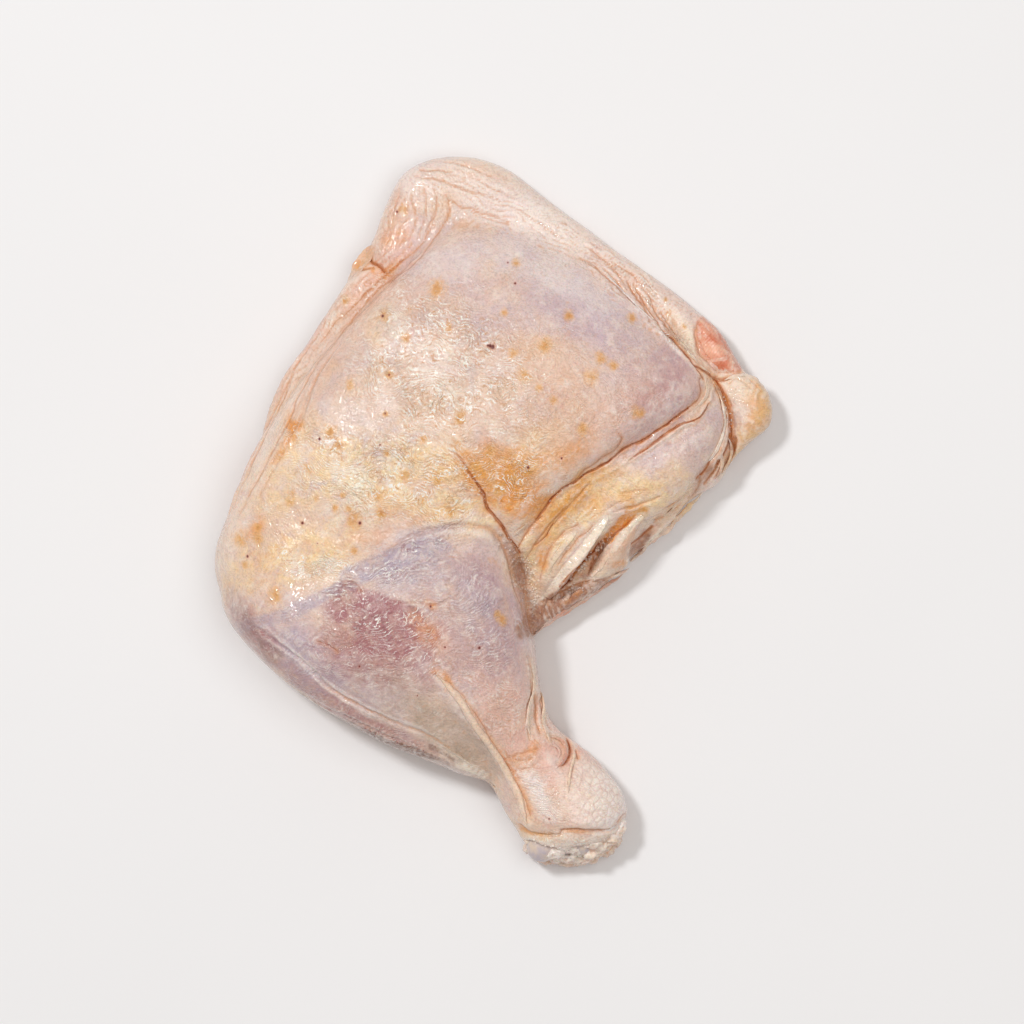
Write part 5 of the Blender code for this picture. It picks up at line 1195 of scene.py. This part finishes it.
def paintZones(piece, skin=None):
    mesh = piece.data
    places = meshArray(mesh)
    rough = np.stack([noiseAt(places, brush["straySize"], 4, shift) for shift in (21.0, 27.0)], 1)
    plan = places[:, :2] / mm
    normals = meshArray(mesh, "normal")
    above = ease(normals[:, 2], -0.5, 0.1)
    upper = ease(normals[:, 2], -0.05, 0.3) if skin else above
    painted = {}
    for zone, strokes in zones.items():
        value = np.zeros(len(plan))
        for line, width, *crisp in strokes:
            inner, outer = brush["crispEdge"] if crisp else brush["softEdge"]
            stray = brush["crispStray"] if crisp else min(brush["strayMost"], brush["stray"] * width)
            near, gap, _, _, strength, _ = nearLine(plan + rough * stray, line, 1.6 * width)
            value[near] = np.maximum(value[near], strength * (1 - ease(gap, inner * width, outer * width)))
        painted[zone] = value * (upper if zone in brush["upperOnly"] else above)
    for name, spots in (("smudgeNear", smudges), ("markNear", marks)):
        gap = np.full(len(plan), farAway)
        for x, y, size in spots:
            gap = np.minimum(gap, np.linalg.norm((plan - (x, y)) * (1.0, 0.85), axis=1) / size)
        painted[name] = np.clip(1 - gap / 3, 0, 1) * ease(normals[:, 2], 0.1, 0.4)
    # hollow and crest carry the painted shade in hollows and the painted highlight on crests
    hollow = hollowDepth(mesh, places, normals) / brush["relief"]
    painted["hollow"], painted["crest"] = hollow, -hollow
    painted["upward"] = ease(normals[:, 2], 0.2, 0.65) if skin else np.zeros(len(plan))
    cutFace = brush["cutTint"] * ease(-normals[:, 1], 0.6, 0.95) * ease(-plan[:, 1], 93, 97)
    painted["under"] = np.maximum(1 - ease(normals[:, 2], -0.75, -0.35), cutFace)
    painted["creaseDark"] = skin["creaseDark"] if skin else np.zeros(len(plan))
    for name, value in painted.items():
        writeMark(mesh, name, np.clip(value, 0, 1))
    for name in ("creaseGap", "creaseSide"):
        writeMark(mesh, name, skin[name] if skin else np.full(len(plan), farAway))


def spotLine(x, y):
    return [(x - 0.1, y, 0), (x + 0.1, y, 0)]


def fineLines():
    # where the skin's mesh is made finer: folds, wrinkles, crisp colour edges, spots and marks
    lines = [(fold["line"], 1.5 + 0.4 * fold.get("reach", 0)) for fold in folds.values()]
    lines += [(bundle["line"], 0.55 * bundle["reach"]) for bundle in wrinkles.values()]
    lines += [(line, 1.1 * width) for strokes in zones.values() for line, width, *crisp in strokes if crisp]
    return lines + [(spotLine(x, y), 1.2 * size + 0.4) for x, y, size in smudges + marks]


def sharpLines():
    # and where it is made finer once more
    sharp = [fold for fold in folds.values() if not fold.get("soft") and fold.get("stain", 0) >= 0.7]
    lines = [(fold["line"], 0.6) for fold in sharp]
    return lines + [(spotLine(x, y), 2.0 * size + 0.2) for x, y, size in marks]


def linear(red, green, blue):
    def channel(value):
        value /= 255
        return value / 12.92 if value <= 0.04045 else ((value + 0.055) / 1.055) ** 2.4

    return (channel(red), channel(green), channel(blue), 1.0)


class Graph:
    def __init__(self, name):
        self.material = bpy.data.materials.new(name)
        self.material.use_nodes = True
        self.tree = self.material.node_tree
        self.shader = self.tree.nodes["Principled BSDF"]
        self.place = self.add("ShaderNodeTexCoord").outputs["Object"]

    def add(self, kind, **settings):
        node = self.tree.nodes.new(kind)
        for key, value in settings.items():
            setattr(node, key, value)
        return node

    def put(self, socket, value):
        if isinstance(value, bpy.types.NodeSocket):
            self.tree.links.new(value, socket)
        else:
            socket.default_value = value

    def noise(self, size, detail=3, rough=0.55, twist=0.0, place=None):
        node = self.add("ShaderNodeTexNoise")
        self.put(node.inputs["Vector"], place or self.place)
        node.inputs["Scale"].default_value = 1000 / size
        node.inputs["Detail"].default_value = detail
        node.inputs["Roughness"].default_value = rough
        node.inputs["Distortion"].default_value = twist
        return node.outputs["Fac"]

    def math(self, kind, a, b=0.0, clamp=False):
        node = self.add("ShaderNodeMath", operation=kind, use_clamp=clamp)
        self.put(node.inputs[0], a)
        self.put(node.inputs[1], b)
        return node.outputs[0]

    def times(self, a, b, clamp=False):
        return self.math("MULTIPLY", a, b, clamp)

    def plus(self, a, b, clamp=False):
        return self.math("ADD", a, b, clamp)

    def larger(self, a, b):
        return self.math("MAXIMUM", a, b)

    def remap(self, value, low, high, toLow=0.0, toHigh=1.0):
        node = self.add("ShaderNodeMapRange")
        self.put(node.inputs["Value"], value)
        for key, number in (("From Min", low), ("From Max", high), ("To Min", toLow), ("To Max", toHigh)):
            node.inputs[key].default_value = number
        return node.outputs["Result"]

    def mark(self, name):
        return self.add("ShaderNodeAttribute", attribute_name=name).outputs["Fac"]

    def blend(self, share, a, b, mode="MIX"):
        node = self.add("ShaderNodeMix", data_type="RGBA", blend_type=mode)
        self.put(node.inputs[0], share)
        self.put(node.inputs[6], a)
        self.put(node.inputs[7], b)
        return node.outputs[2]

    def tint(self, share, colour, shade):
        return self.blend(share, colour, linear(*shade))

    def mixed(self, share, first, second):
        return self.blend(share, linear(*first), linear(*second))

    def soften(self, weight, radius, scale):
        self.shader.inputs["Subsurface Weight"].default_value = weight
        self.shader.inputs["Subsurface Radius"].default_value = radius
        self.shader.inputs["Subsurface Scale"].default_value = scale * mm

    def wrinkles(self, lean, spacing, broadWarp, fineWarp):
        # wavy lines across the direction of lean: 0 in a line, 1 between two
        across = self.add("ShaderNodeVectorMath", operation="DOT_PRODUCT")
        self.put(across.inputs[0], self.place)
        across.inputs[1].default_value = Vector(lean).normalized() / (spacing * mm)
        warped = self.plus(across.outputs["Value"], self.times(self.noise(20, 2), broadWarp))
        warped = self.plus(warped, self.times(self.noise(3.4, 3), fineWarp))
        return self.times(self.math("PINGPONG", warped, 0.5), 2.0)

    def ridges(self, size, twist):
        # 1 along winding crests, 0 in the hollows between them
        lump = self.noise(size, 3, 0.5, twist)
        return self.remap(self.math("ABSOLUTE", self.math("SUBTRACT", lump, 0.5)), 0.0, 0.16, 1, 0)

    def bump(self, height, distance, strength=1.0, under=None):
        node = self.add("ShaderNodeBump")
        node.inputs["Distance"].default_value = distance * mm
        self.put(node.inputs["Strength"], strength)
        self.put(node.inputs["Height"], height)
        if under is not None:
            self.put(node.inputs["Normal"], under)
        return node.outputs["Normal"]


skinLook = {
    "base": (236, 211, 197),
    "warm": (240, 205, 176),
    "cool": (219, 200, 202),
    "roughness": 0.44,
    "wetRoughness": 0.30,
    "film": 0.85,
    "soft": 0.14,
    # zone: colour, strength, patch size in millimetres, patchiness
    "zones": {
        "lilac": ((209, 184, 191), 0.85, 8.0, 0.5),
        "yellow": ((255, 224, 176), 0.78, 5.0, 1.0),
        # paintedShine is a painted highlight, glare on the wet skin
        "paintedShine": ((255, 246, 228), 0.62, 1.8, 0.9),
        "peach": ((224, 176, 144), 0.60, 6.0, 0.5),
        "pink": ((240, 194, 178), 0.75, 7.0, 0.5),
        "mauve": ((172, 112, 117), 0.94, 4.0, 0.35),
        "greyLilac": ((188, 173, 187), 0.90, 4.0, 0.5),
        "greyBeige": ((196, 172, 152), 0.80, 7.0, 0.5),
        "wine": ((130, 90, 72), 0.90, 1.6, 0.6),
        "orange": ((238, 154, 62), 0.96, 4.5, 0.5),
        "golden": ((234, 164, 74), 0.95, 2.6, 0.5),
        "pleat": ((222, 156, 100), 0.50, 3.0, 0.4),
        "butter": ((238, 194, 136), 0.85, 4.0, 0.6),
        "cream": ((255, 238, 218), 0.90, 4.0, 0.25),
        "pearl": ((255, 243, 238), 0.85, 3.0, 0.3),
        "cord": ((253, 222, 196), 0.94, 3.0, 0.25),
        "raw": ((172, 122, 98), 0.90, 2.5, 0.5),
        "gap": ((186, 112, 62), 0.90, 1.6, 0.6),
        "meat": ((226, 142, 112), 0.92, 4.0, 0.4),
        "under": ((224, 164, 142), 0.85, 10.0, 0.7),
    },
    "smudge": (232, 172, 94),
    "smudgeCore": (206, 136, 58),
    "fat": (244, 186, 108),
    # paleVeilAndCrestLight: pale thin skin, with a painted highlight on the worm crests
    "paleVeilAndCrestLight": (248, 236, 226),
    "vein": (206, 138, 128),
    # crestHighlight is a painted highlight on crests, hollowShade painted shade in hollows
    "crestHighlight": (255, 244, 234),
    "hollowShade": (222, 164, 122),
    "creaseHalo": (226, 144, 64),
    # creaseBrownAndShade: the crease line's own brown together with painted shade
    "creaseBrownAndShade": (158, 70, 24),
    # glintPaint is a painted highlight; furrowShade and drumFurrowShade are painted shade in the wrinkle
    # furrows and hollows
    "glintPaint": (255, 252, 244),
    "furrowShade": (208, 154, 110),
    "drumFurrowShade": (152, 112, 116),
    "markHalo": (206, 120, 96),
    "mark": (104, 22, 16),
    "groove": (222, 190, 178),
    "scaleSize": 2.2,
    "wrinkleSpacing": 1.25,
    # wrinkleBottomShade is painted shade in the wrinkles' bottoms
    "wrinkleBottomShade": (206, 152, 112),
}


def makeSkin():
    g = Graph("wetChickenSkin")
    look = skinLook
    wet, yellow, orange = g.mark("wet"), g.mark("yellow"), g.mark("orange")
    lines = g.wrinkles((0.25, 1.0, 0.35), look["wrinkleSpacing"], 24, 4.4)
    slanted = g.wrinkles((-0.42, 1.0, 0.3), 0.85 * look["wrinkleSpacing"], 15, 3.4)
    onDrum = g.remap(g.plus(g.mark("mauve"), g.mark("greyLilac")), 0.25, 0.4)
    lines = g.plus(g.times(lines, g.math("SUBTRACT", 1.0, onDrum)), g.times(slanted, onDrum))
    worms = g.ridges(2.0, 1.4)
    crumple = g.ridges(5.5, 0.8)
    grain = g.noise(1.1, 4, 0.65, 0.5)

    colour = g.mixed(g.remap(g.noise(22, 4), 0.38, 0.62), look["base"], look["warm"])
    colour = g.tint(g.remap(g.noise(13, 5, 0.6, 0.6), 0.46, 0.66, 0, 0.65), colour, look["cool"])
    # the pleat colour lies only in the hollows of the pleats: partly their own brown, partly painted shade
    pleats = g.remap(g.mark("hollow"), 0.12, 0.6)
    for zone, (shade, strength, patch, patchiness) in look["zones"].items():
        least, most = (1 - patchiness) * strength, (1 + patchiness) * strength
        patches = g.remap(g.noise(patch, 4, 0.62, 0.5), 0.34, 0.66, least, most)
        share = g.math("MINIMUM", g.times(g.mark(zone), patches), 0.96)
        if zone == "pleat":
            share = g.times(share, pleats)
        colour = g.tint(share, colour, shade)
    # a spot's mark is 1 in its middle and falls by a third with each of its half widths
    ragged = g.math("SUBTRACT", g.noise(2.2, 5, 0.7), 0.5)
    smudge = g.plus(g.mark("smudgeNear"), ragged)
    colour = g.tint(g.remap(smudge, 0.42, 0.84, 0, 0.75), colour, look["smudge"])
    colour = g.tint(g.remap(smudge, 0.76, 1.0, 0, 0.6), colour, look["smudgeCore"])

    # grains of yellow fat that lie in rows between the wrinkles
    fatGrain = g.remap(g.noise(2.1, 5, 0.68, 1.1), 0.53, 0.64)
    fatWhere = g.plus(g.times(yellow, 0.35), g.times(orange, 0.25))
    offLilac = g.remap(g.mark("lilac"), 0.1, 0.6, 1, 0)
    fatWhere = g.plus(fatWhere, g.times(g.remap(g.noise(15, 3), 0.52, 0.68, 0.0, 0.22), offLilac))
    colour = g.tint(g.times(fatGrain, fatWhere, clamp=True), colour, look["fat"])
    # pale thin places, lighter along the worm crests as a painted highlight, and faint veins
    paleVeilAndCrestLight = g.times(g.remap(g.noise(4.2, 5, 0.66, 0.9), 0.52, 0.70), g.remap(worms, 0.2, 0.9, 0.15, 0.55))
    colour = g.tint(paleVeilAndCrestLight, colour, look["paleVeilAndCrestLight"])
    vein = g.times(g.remap(g.ridges(11, 0.9), 0.93, 0.995, 0, 0.30), g.remap(g.noise(30, 2), 0.48, 0.6))
    colour = g.tint(vein, colour, look["vein"])
    # painted shade: wrinkles are browner in their bottoms
    bottomShade = g.times(g.remap(lines, 0.0, 0.45, 1, 0), g.remap(g.noise(11, 3), 0.40, 0.58, 0.03, 0.22))
    colour = g.tint(bottomShade, colour, look["wrinkleBottomShade"])
    # fine grain, lighter and darker
    shade = g.times(g.remap(grain, 0.3, 0.7, 0.88, 1.08), g.remap(g.noise(0.6, 2), 0.3, 0.7, 0.86, 1.12))
    colour = g.blend(1.0, colour, g.blend(shade, (0, 0, 0, 1), (1, 1, 1, 1)), "MULTIPLY")

    # the creases: an orange halo with a thin brown line in it, the line partly the skin's own brown and partly
    # painted shade
    gap, dark = g.mark("creaseGap"), g.mark("creaseDark")
    halo = g.times(g.remap(gap, 0.1, 1.3, 0.66, 0), dark)
    halo = g.times(halo, g.remap(g.noise(3.0, 4), 0.35, 0.65, 0.5, 1.4), clamp=True)
    colour = g.tint(halo, colour, look["creaseHalo"])
    # the signed distance is 0 in the crease, but also between two creases, where gap stays large
    fine = g.larger(g.math("ABSOLUTE", g.mark("creaseSide")), g.math("SUBTRACT", gap, 0.4))
    fine = g.math("DIVIDE", fine, g.larger(dark, 0.3))
    core = g.times(g.remap(fine, 0.12, 0.44, 0.97, 0), g.remap(dark, 0.08, 0.95, 0, 1))
    core = g.times(core, g.remap(g.noise(3.4, 3), 0.36, 0.56, 0.55, 1.0))
    colour = g.tint(core, colour, look["creaseBrownAndShade"])
    # painted highlight on the crests, and painted shade in the hollows, greyer on the drumstick
    colour = g.tint(g.remap(g.mark("crest"), 0.35, 1.0, 0, 0.35), colour, look["crestHighlight"])
    patches = g.remap(g.noise(4.0, 4), 0.35, 0.65, 0.2, 0.7)
    hollowShadeShare = g.times(g.remap(g.mark("hollow"), 0.35, 1.0), patches)
    hollowShadeShare = g.times(hollowShadeShare, g.remap(onDrum, 0, 1, 1, 0.25))
    colour = g.blend(hollowShadeShare, colour, g.mixed(onDrum, look["hollowShade"], look["drumFurrowShade"]))
    # painted highlights: threads of painted glint, and painted shade in the furrows beside them, broken up and
    # thickest where the skin is wet
    damp = g.larger(g.remap(wet, 0.1, 0.85, 0.08, 1.0), g.times(onDrum, 0.28))
    where = g.times(g.remap(g.noise(8, 3), 0.40, 0.54, 0.25, 1.0), damp)
    where = g.times(where, g.mark("upward"))
    furrowShades = g.times(g.remap(lines, 0.28, 0.08), g.remap(g.noise(2.2, 3), 0.44, 0.54, 0.0, 0.80))
    furrowShadeTint = g.mixed(onDrum, look["furrowShade"], look["drumFurrowShade"])
    colour = g.blend(g.times(furrowShades, where), colour, furrowShadeTint)
    paintedGlints = g.times(g.remap(lines, 0.74, 0.90), g.remap(g.noise(2.0, 3), 0.49, 0.55))
    winding = g.times(g.remap(g.ridges(3.0, 1.6), 0.86, 0.96), g.remap(g.noise(2.4, 3), 0.50, 0.56))
    paintedGlints = g.larger(paintedGlints, winding)
    colour = g.tint(g.times(paintedGlints, where), colour, look["glintPaint"])
    # pebbly scales of the hock, with pinkish grooves between them
    cells = g.add("ShaderNodeTexVoronoi", feature="DISTANCE_TO_EDGE")
    g.put(cells.inputs["Vector"], g.place)
    cells.inputs["Scale"].default_value = 1000 / look["scaleSize"]
    pebbles = g.times(g.remap(cells.outputs["Distance"], 0.02, 0.30), g.mark("scales"))
    grooves = g.times(g.remap(cells.outputs["Distance"], 0.02, 0.14, 0.5, 0), g.mark("scales"))
    colour = g.tint(grooves, colour, look["groove"])
    spot = g.plus(g.mark("markNear"), g.times(ragged, 0.15))
    colour = g.tint(g.remap(spot, 0.35, 0.66, 0, 0.40), colour, look["markHalo"])
    colour = g.tint(g.remap(spot, 0.62, 0.80, 0, 0.94), colour, look["mark"])
    g.put(g.shader.inputs["Base Color"], colour)

    # the wet film lies over everything but the creases and furrows
    drier = g.remap(g.noise(7, 4), 0.35, 0.65, -0.07, 0.10)
    roughness = g.remap(wet, 0, 1, look["roughness"], look["wetRoughness"])
    roughness = g.plus(g.plus(roughness, drier), g.times(core, 0.4), clamp=True)
    g.put(g.shader.inputs["Roughness"], roughness)
    g.shader.inputs["Specular IOR Level"].default_value = 0.2
    dry = g.larger(core, g.times(g.times(furrowShades, where), 0.7))
    g.put(g.shader.inputs["Coat Weight"], g.remap(dry, 0, 1, look["film"], 0.0))
    g.shader.inputs["Coat Roughness"].default_value = 0.08
    g.soften(look["soft"], (1.0, 0.45, 0.25), 3.0)

    calm = g.remap(g.noise(11, 3), 0.40, 0.58, 0.15, 1.0)
    active = g.times(g.larger(g.remap(wet, 0, 1, 0.35, 1.0), g.times(onDrum, 0.4)), calm)
    normal = g.bump(g.times(lines, active), 0.18, 0.9)
    normal = g.bump(g.times(worms, active), 0.20, 0.8, normal)
    normal = g.bump(crumple, 0.28, 0.5, normal)
    normal = g.bump(pebbles, 0.20, 0.5, normal)
    normal = g.bump(g.remap(gap, 0.0, 0.5), 0.25, 0.6, normal)
    beads = g.times(g.noise(2.8, 1.0, 0.5, 1.0), g.remap(wet, 0, 1, 0.2, 1.0))
    glassy = g.bump(beads, 0.9, 0.8, normal)
    g.put(g.shader.inputs["Coat Normal"], glassy)
    g.put(g.shader.inputs["Normal"], g.bump(grain, 0.14, 0.9, normal))
    return g.material


muscleLook = {
    "deep": (218, 124, 90),
    "pink": (246, 188, 160),
    "sinew": (248, 220, 204),
    "fibreShadow": (196, 110, 84),
    "roughness": (0.28, 0.46),
}


def makeMuscle():
    g = Graph("rawMuscle")
    look = muscleLook
    fibres = g.wrinkles((1.0, -0.9, 0.1), 0.9, 5, 2.2)
    colour = g.mixed(g.remap(g.noise(6, 4, 0.6, 0.8), 0.36, 0.60), look["deep"], look["pink"])
    seams = g.times(g.remap(g.ridges(9, 1.0), 0.84, 0.98), 0.6)
    colour = g.tint(seams, colour, look["sinew"])
    colour = g.tint(g.remap(fibres, 0.0, 0.5, 0.16, 0), colour, look["fibreShadow"])
    g.put(g.shader.inputs["Base Color"], colour)
    g.put(g.shader.inputs["Roughness"], g.remap(g.noise(2.0, 3), 0.3, 0.7, *look["roughness"]))
    g.shader.inputs["Coat Weight"].default_value = 0.6
    g.shader.inputs["Coat Roughness"].default_value = 0.12
    g.soften(0.18, (1.0, 0.35, 0.2), 2.5)
    normal = g.bump(fibres, 0.12, 0.7)
    normal = g.bump(g.noise(2.4, 3, 0.55, 0.6), 0.35, 0.6, normal)
    g.put(g.shader.inputs["Normal"], normal)
    return g.material


# The bone's voxel, and how much thinner it is inside the meat, over a step of this length, in millimetres
boneLook = {
    "cartilage": (196, 184, 190),
    "stain": (224, 204, 186),
    "roughness": (0.22, 0.42),
    "voxel": 0.7,
    "smoothing": 3,
    "thinner": 1.5,
    "step": 2,
}


def makeCartilage():
    g = Graph("wetCartilage")
    look = boneLook
    tone = g.remap(g.noise(3.0, 4), 0.4, 0.65)
    g.put(g.shader.inputs["Base Color"], g.mixed(tone, look["cartilage"], look["stain"]))
    g.put(g.shader.inputs["Roughness"], g.remap(g.noise(2.0, 3), 0.3, 0.7, *look["roughness"]))
    g.shader.inputs["Coat Weight"].default_value = 0.4
    g.shader.inputs["Coat Roughness"].default_value = 0.12
    g.soften(0.15, (0.8, 0.7, 0.6), 2.0)
    g.put(g.shader.inputs["Normal"], g.bump(g.noise(1.2, 3), 0.15, 0.4))
    return g.material


def finishPiece(piece, material, node=None):
    piece.data.materials.append(material)
    piece.data.shade_smooth()
    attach(piece, "root")
    if node:
        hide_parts(node)


skinMaterial = makeSkin()
leg = evenMesh("skinAndMeat", "leg_quarter", skinShape["voxel"], skinShape["smoothing"])
leg = relaxBeds(leg, beds, skinShape["bedRounds"])
leg = thinUnder(leg, skinShape["underShare"])
leg = refineNear(leg, fineLines())
leg = refineNear(leg, sharpLines())
faces = sum(len(f.vertices) - 2 for f in leg.data.polygons)
print("skin mesh", len(leg.data.vertices), "points", faces, "triangles")
skin = sculptSkin(leg)
paintZones(leg, skin)
finishPiece(leg, skinMaterial, "leg_quarter")
print("skin sculpted and painted")

tree = bvhtree.BVHTree.FromObject(leg, bpy.context.evaluated_depsgraph_get())
for name, look in looseFolds.items():
    piece = looseFold(name, look, tree)
    paintZones(piece)
    finishPiece(piece, skinMaterial)
print("loose folds", len(looseFolds))

finishPiece(looseFold("bareMuscle", bareMuscle, tree), makeMuscle())
hock = makeGristle("hockGristle", gristle)
paintZones(hock)
finishPiece(hock, skinMaterial)
beads = makeGrains("wetGrains", grains, tree)
paintZones(beads)
finishPiece(beads, skinMaterial)
print("muscle and gristle done")

bone = evenMesh("hockCartilage", "leg_bone", boneLook["voxel"], boneLook["smoothing"])
places, normals = meshArray(bone.data), meshArray(bone.data, "normal")
nearEnd, step = skinShape["channelEnd"], boneLook["step"]
inner = ease(places[:, 1] / mm, nearEnd - step, nearEnd + step)
putPlaces(bone.data, places - normals * (boneLook["thinner"] * mm * inner)[:, None])
finishPiece(bone, makeCartilage(), "leg_bone")
print("bone done")

# Directions point from the leg to the lamp, and lengths are in metres. pixel is the width of one of the
# picture's pixels at the table in millimetres, and middle the picture's middle in pixels from the origin.
studio = {
    "floor": (241, 241, 242),
    "floorHalf": 3.0,
    "floorGap": 0.0002,
    "lamps": {
        "key": dict(direction=(-0.44, 0.38, 1), away=2.2, size=0.34, energy=20.4, colour=(0.985, 0.995, 1)),
        "softBox": dict(direction=(0.30, 0.02, 1), away=1.3, size=1.0, energy=4.6, colour=(1, 0.98, 0.955)),
    },
    "world": 0.40,
    "worldColour": (1.0, 0.945, 0.91, 1),
    "pixels": 1024,
    "pixel": 0.29,
    "middle": (19, 0.5),
    "raised": 0.012,
    "lens": 200,
    "film": 36,
}


def makeFloor():
    mesh = bpy.data.meshes.new("paleFloor")
    side = studio["floorHalf"]
    mesh.from_pydata([(-side, -side, 0), (side, -side, 0), (side, side, 0), (-side, side, 0)], [], [range(4)])
    floor = newPiece("paleFloor", mesh)
    floor.location.z = -studio["floorGap"]
    g = Graph("paleFloor")
    shade = studio["floor"]
    tone = g.mixed(g.remap(g.noise(160, 2), 0.3, 0.7), shade, [c - 2 for c in shade])
    g.put(g.shader.inputs["Base Color"], tone)
    g.shader.inputs["Roughness"].default_value = 0.55
    floor.data.materials.append(g.material)


def makeLamp(name, look):
    data = bpy.data.lights.new(name, "AREA")
    data.shape = "DISK"
    data.size, data.energy, data.color = look["size"], look["energy"], look["colour"]
    lamp = bpy.data.objects.new(name, data)
    way = Vector(look["direction"]).normalized()
    lamp.location = way * look["away"]
    lamp.rotation_mode = "QUATERNION"
    lamp.rotation_quaternion = way.to_track_quat("Z", "Y")
    bpy.context.scene.collection.objects.link(lamp)


def makeWorld():
    world = bpy.data.worlds.new("softRoom")
    world.use_nodes = True
    light = world.node_tree.nodes["Background"].inputs
    light["Color"].default_value = studio["worldColour"]
    light["Strength"].default_value = studio["world"]
    bpy.context.scene.world = world


def makeCamera():
    data = bpy.data.cameras.new("topCamera")
    data.lens, data.sensor_width = studio["lens"], studio["film"]
    data.clip_end = 20
    pixel = studio["pixel"] * mm
    distance = pixel * studio["pixels"] / 2 * data.lens / (data.sensor_width / 2)
    right, up = studio["middle"]
    camera = bpy.data.objects.new("topCamera", data)
    camera.location = (right * pixel, up * pixel, distance + studio["raised"])
    bpy.context.scene.collection.objects.link(camera)
    bpy.context.scene.camera = camera


makeFloor()
for name, look in studio["lamps"].items():
    makeLamp(name, look)
makeWorld()
bpy.context.scene.view_settings.view_transform = "Standard"
makeCamera()
print("stage done")
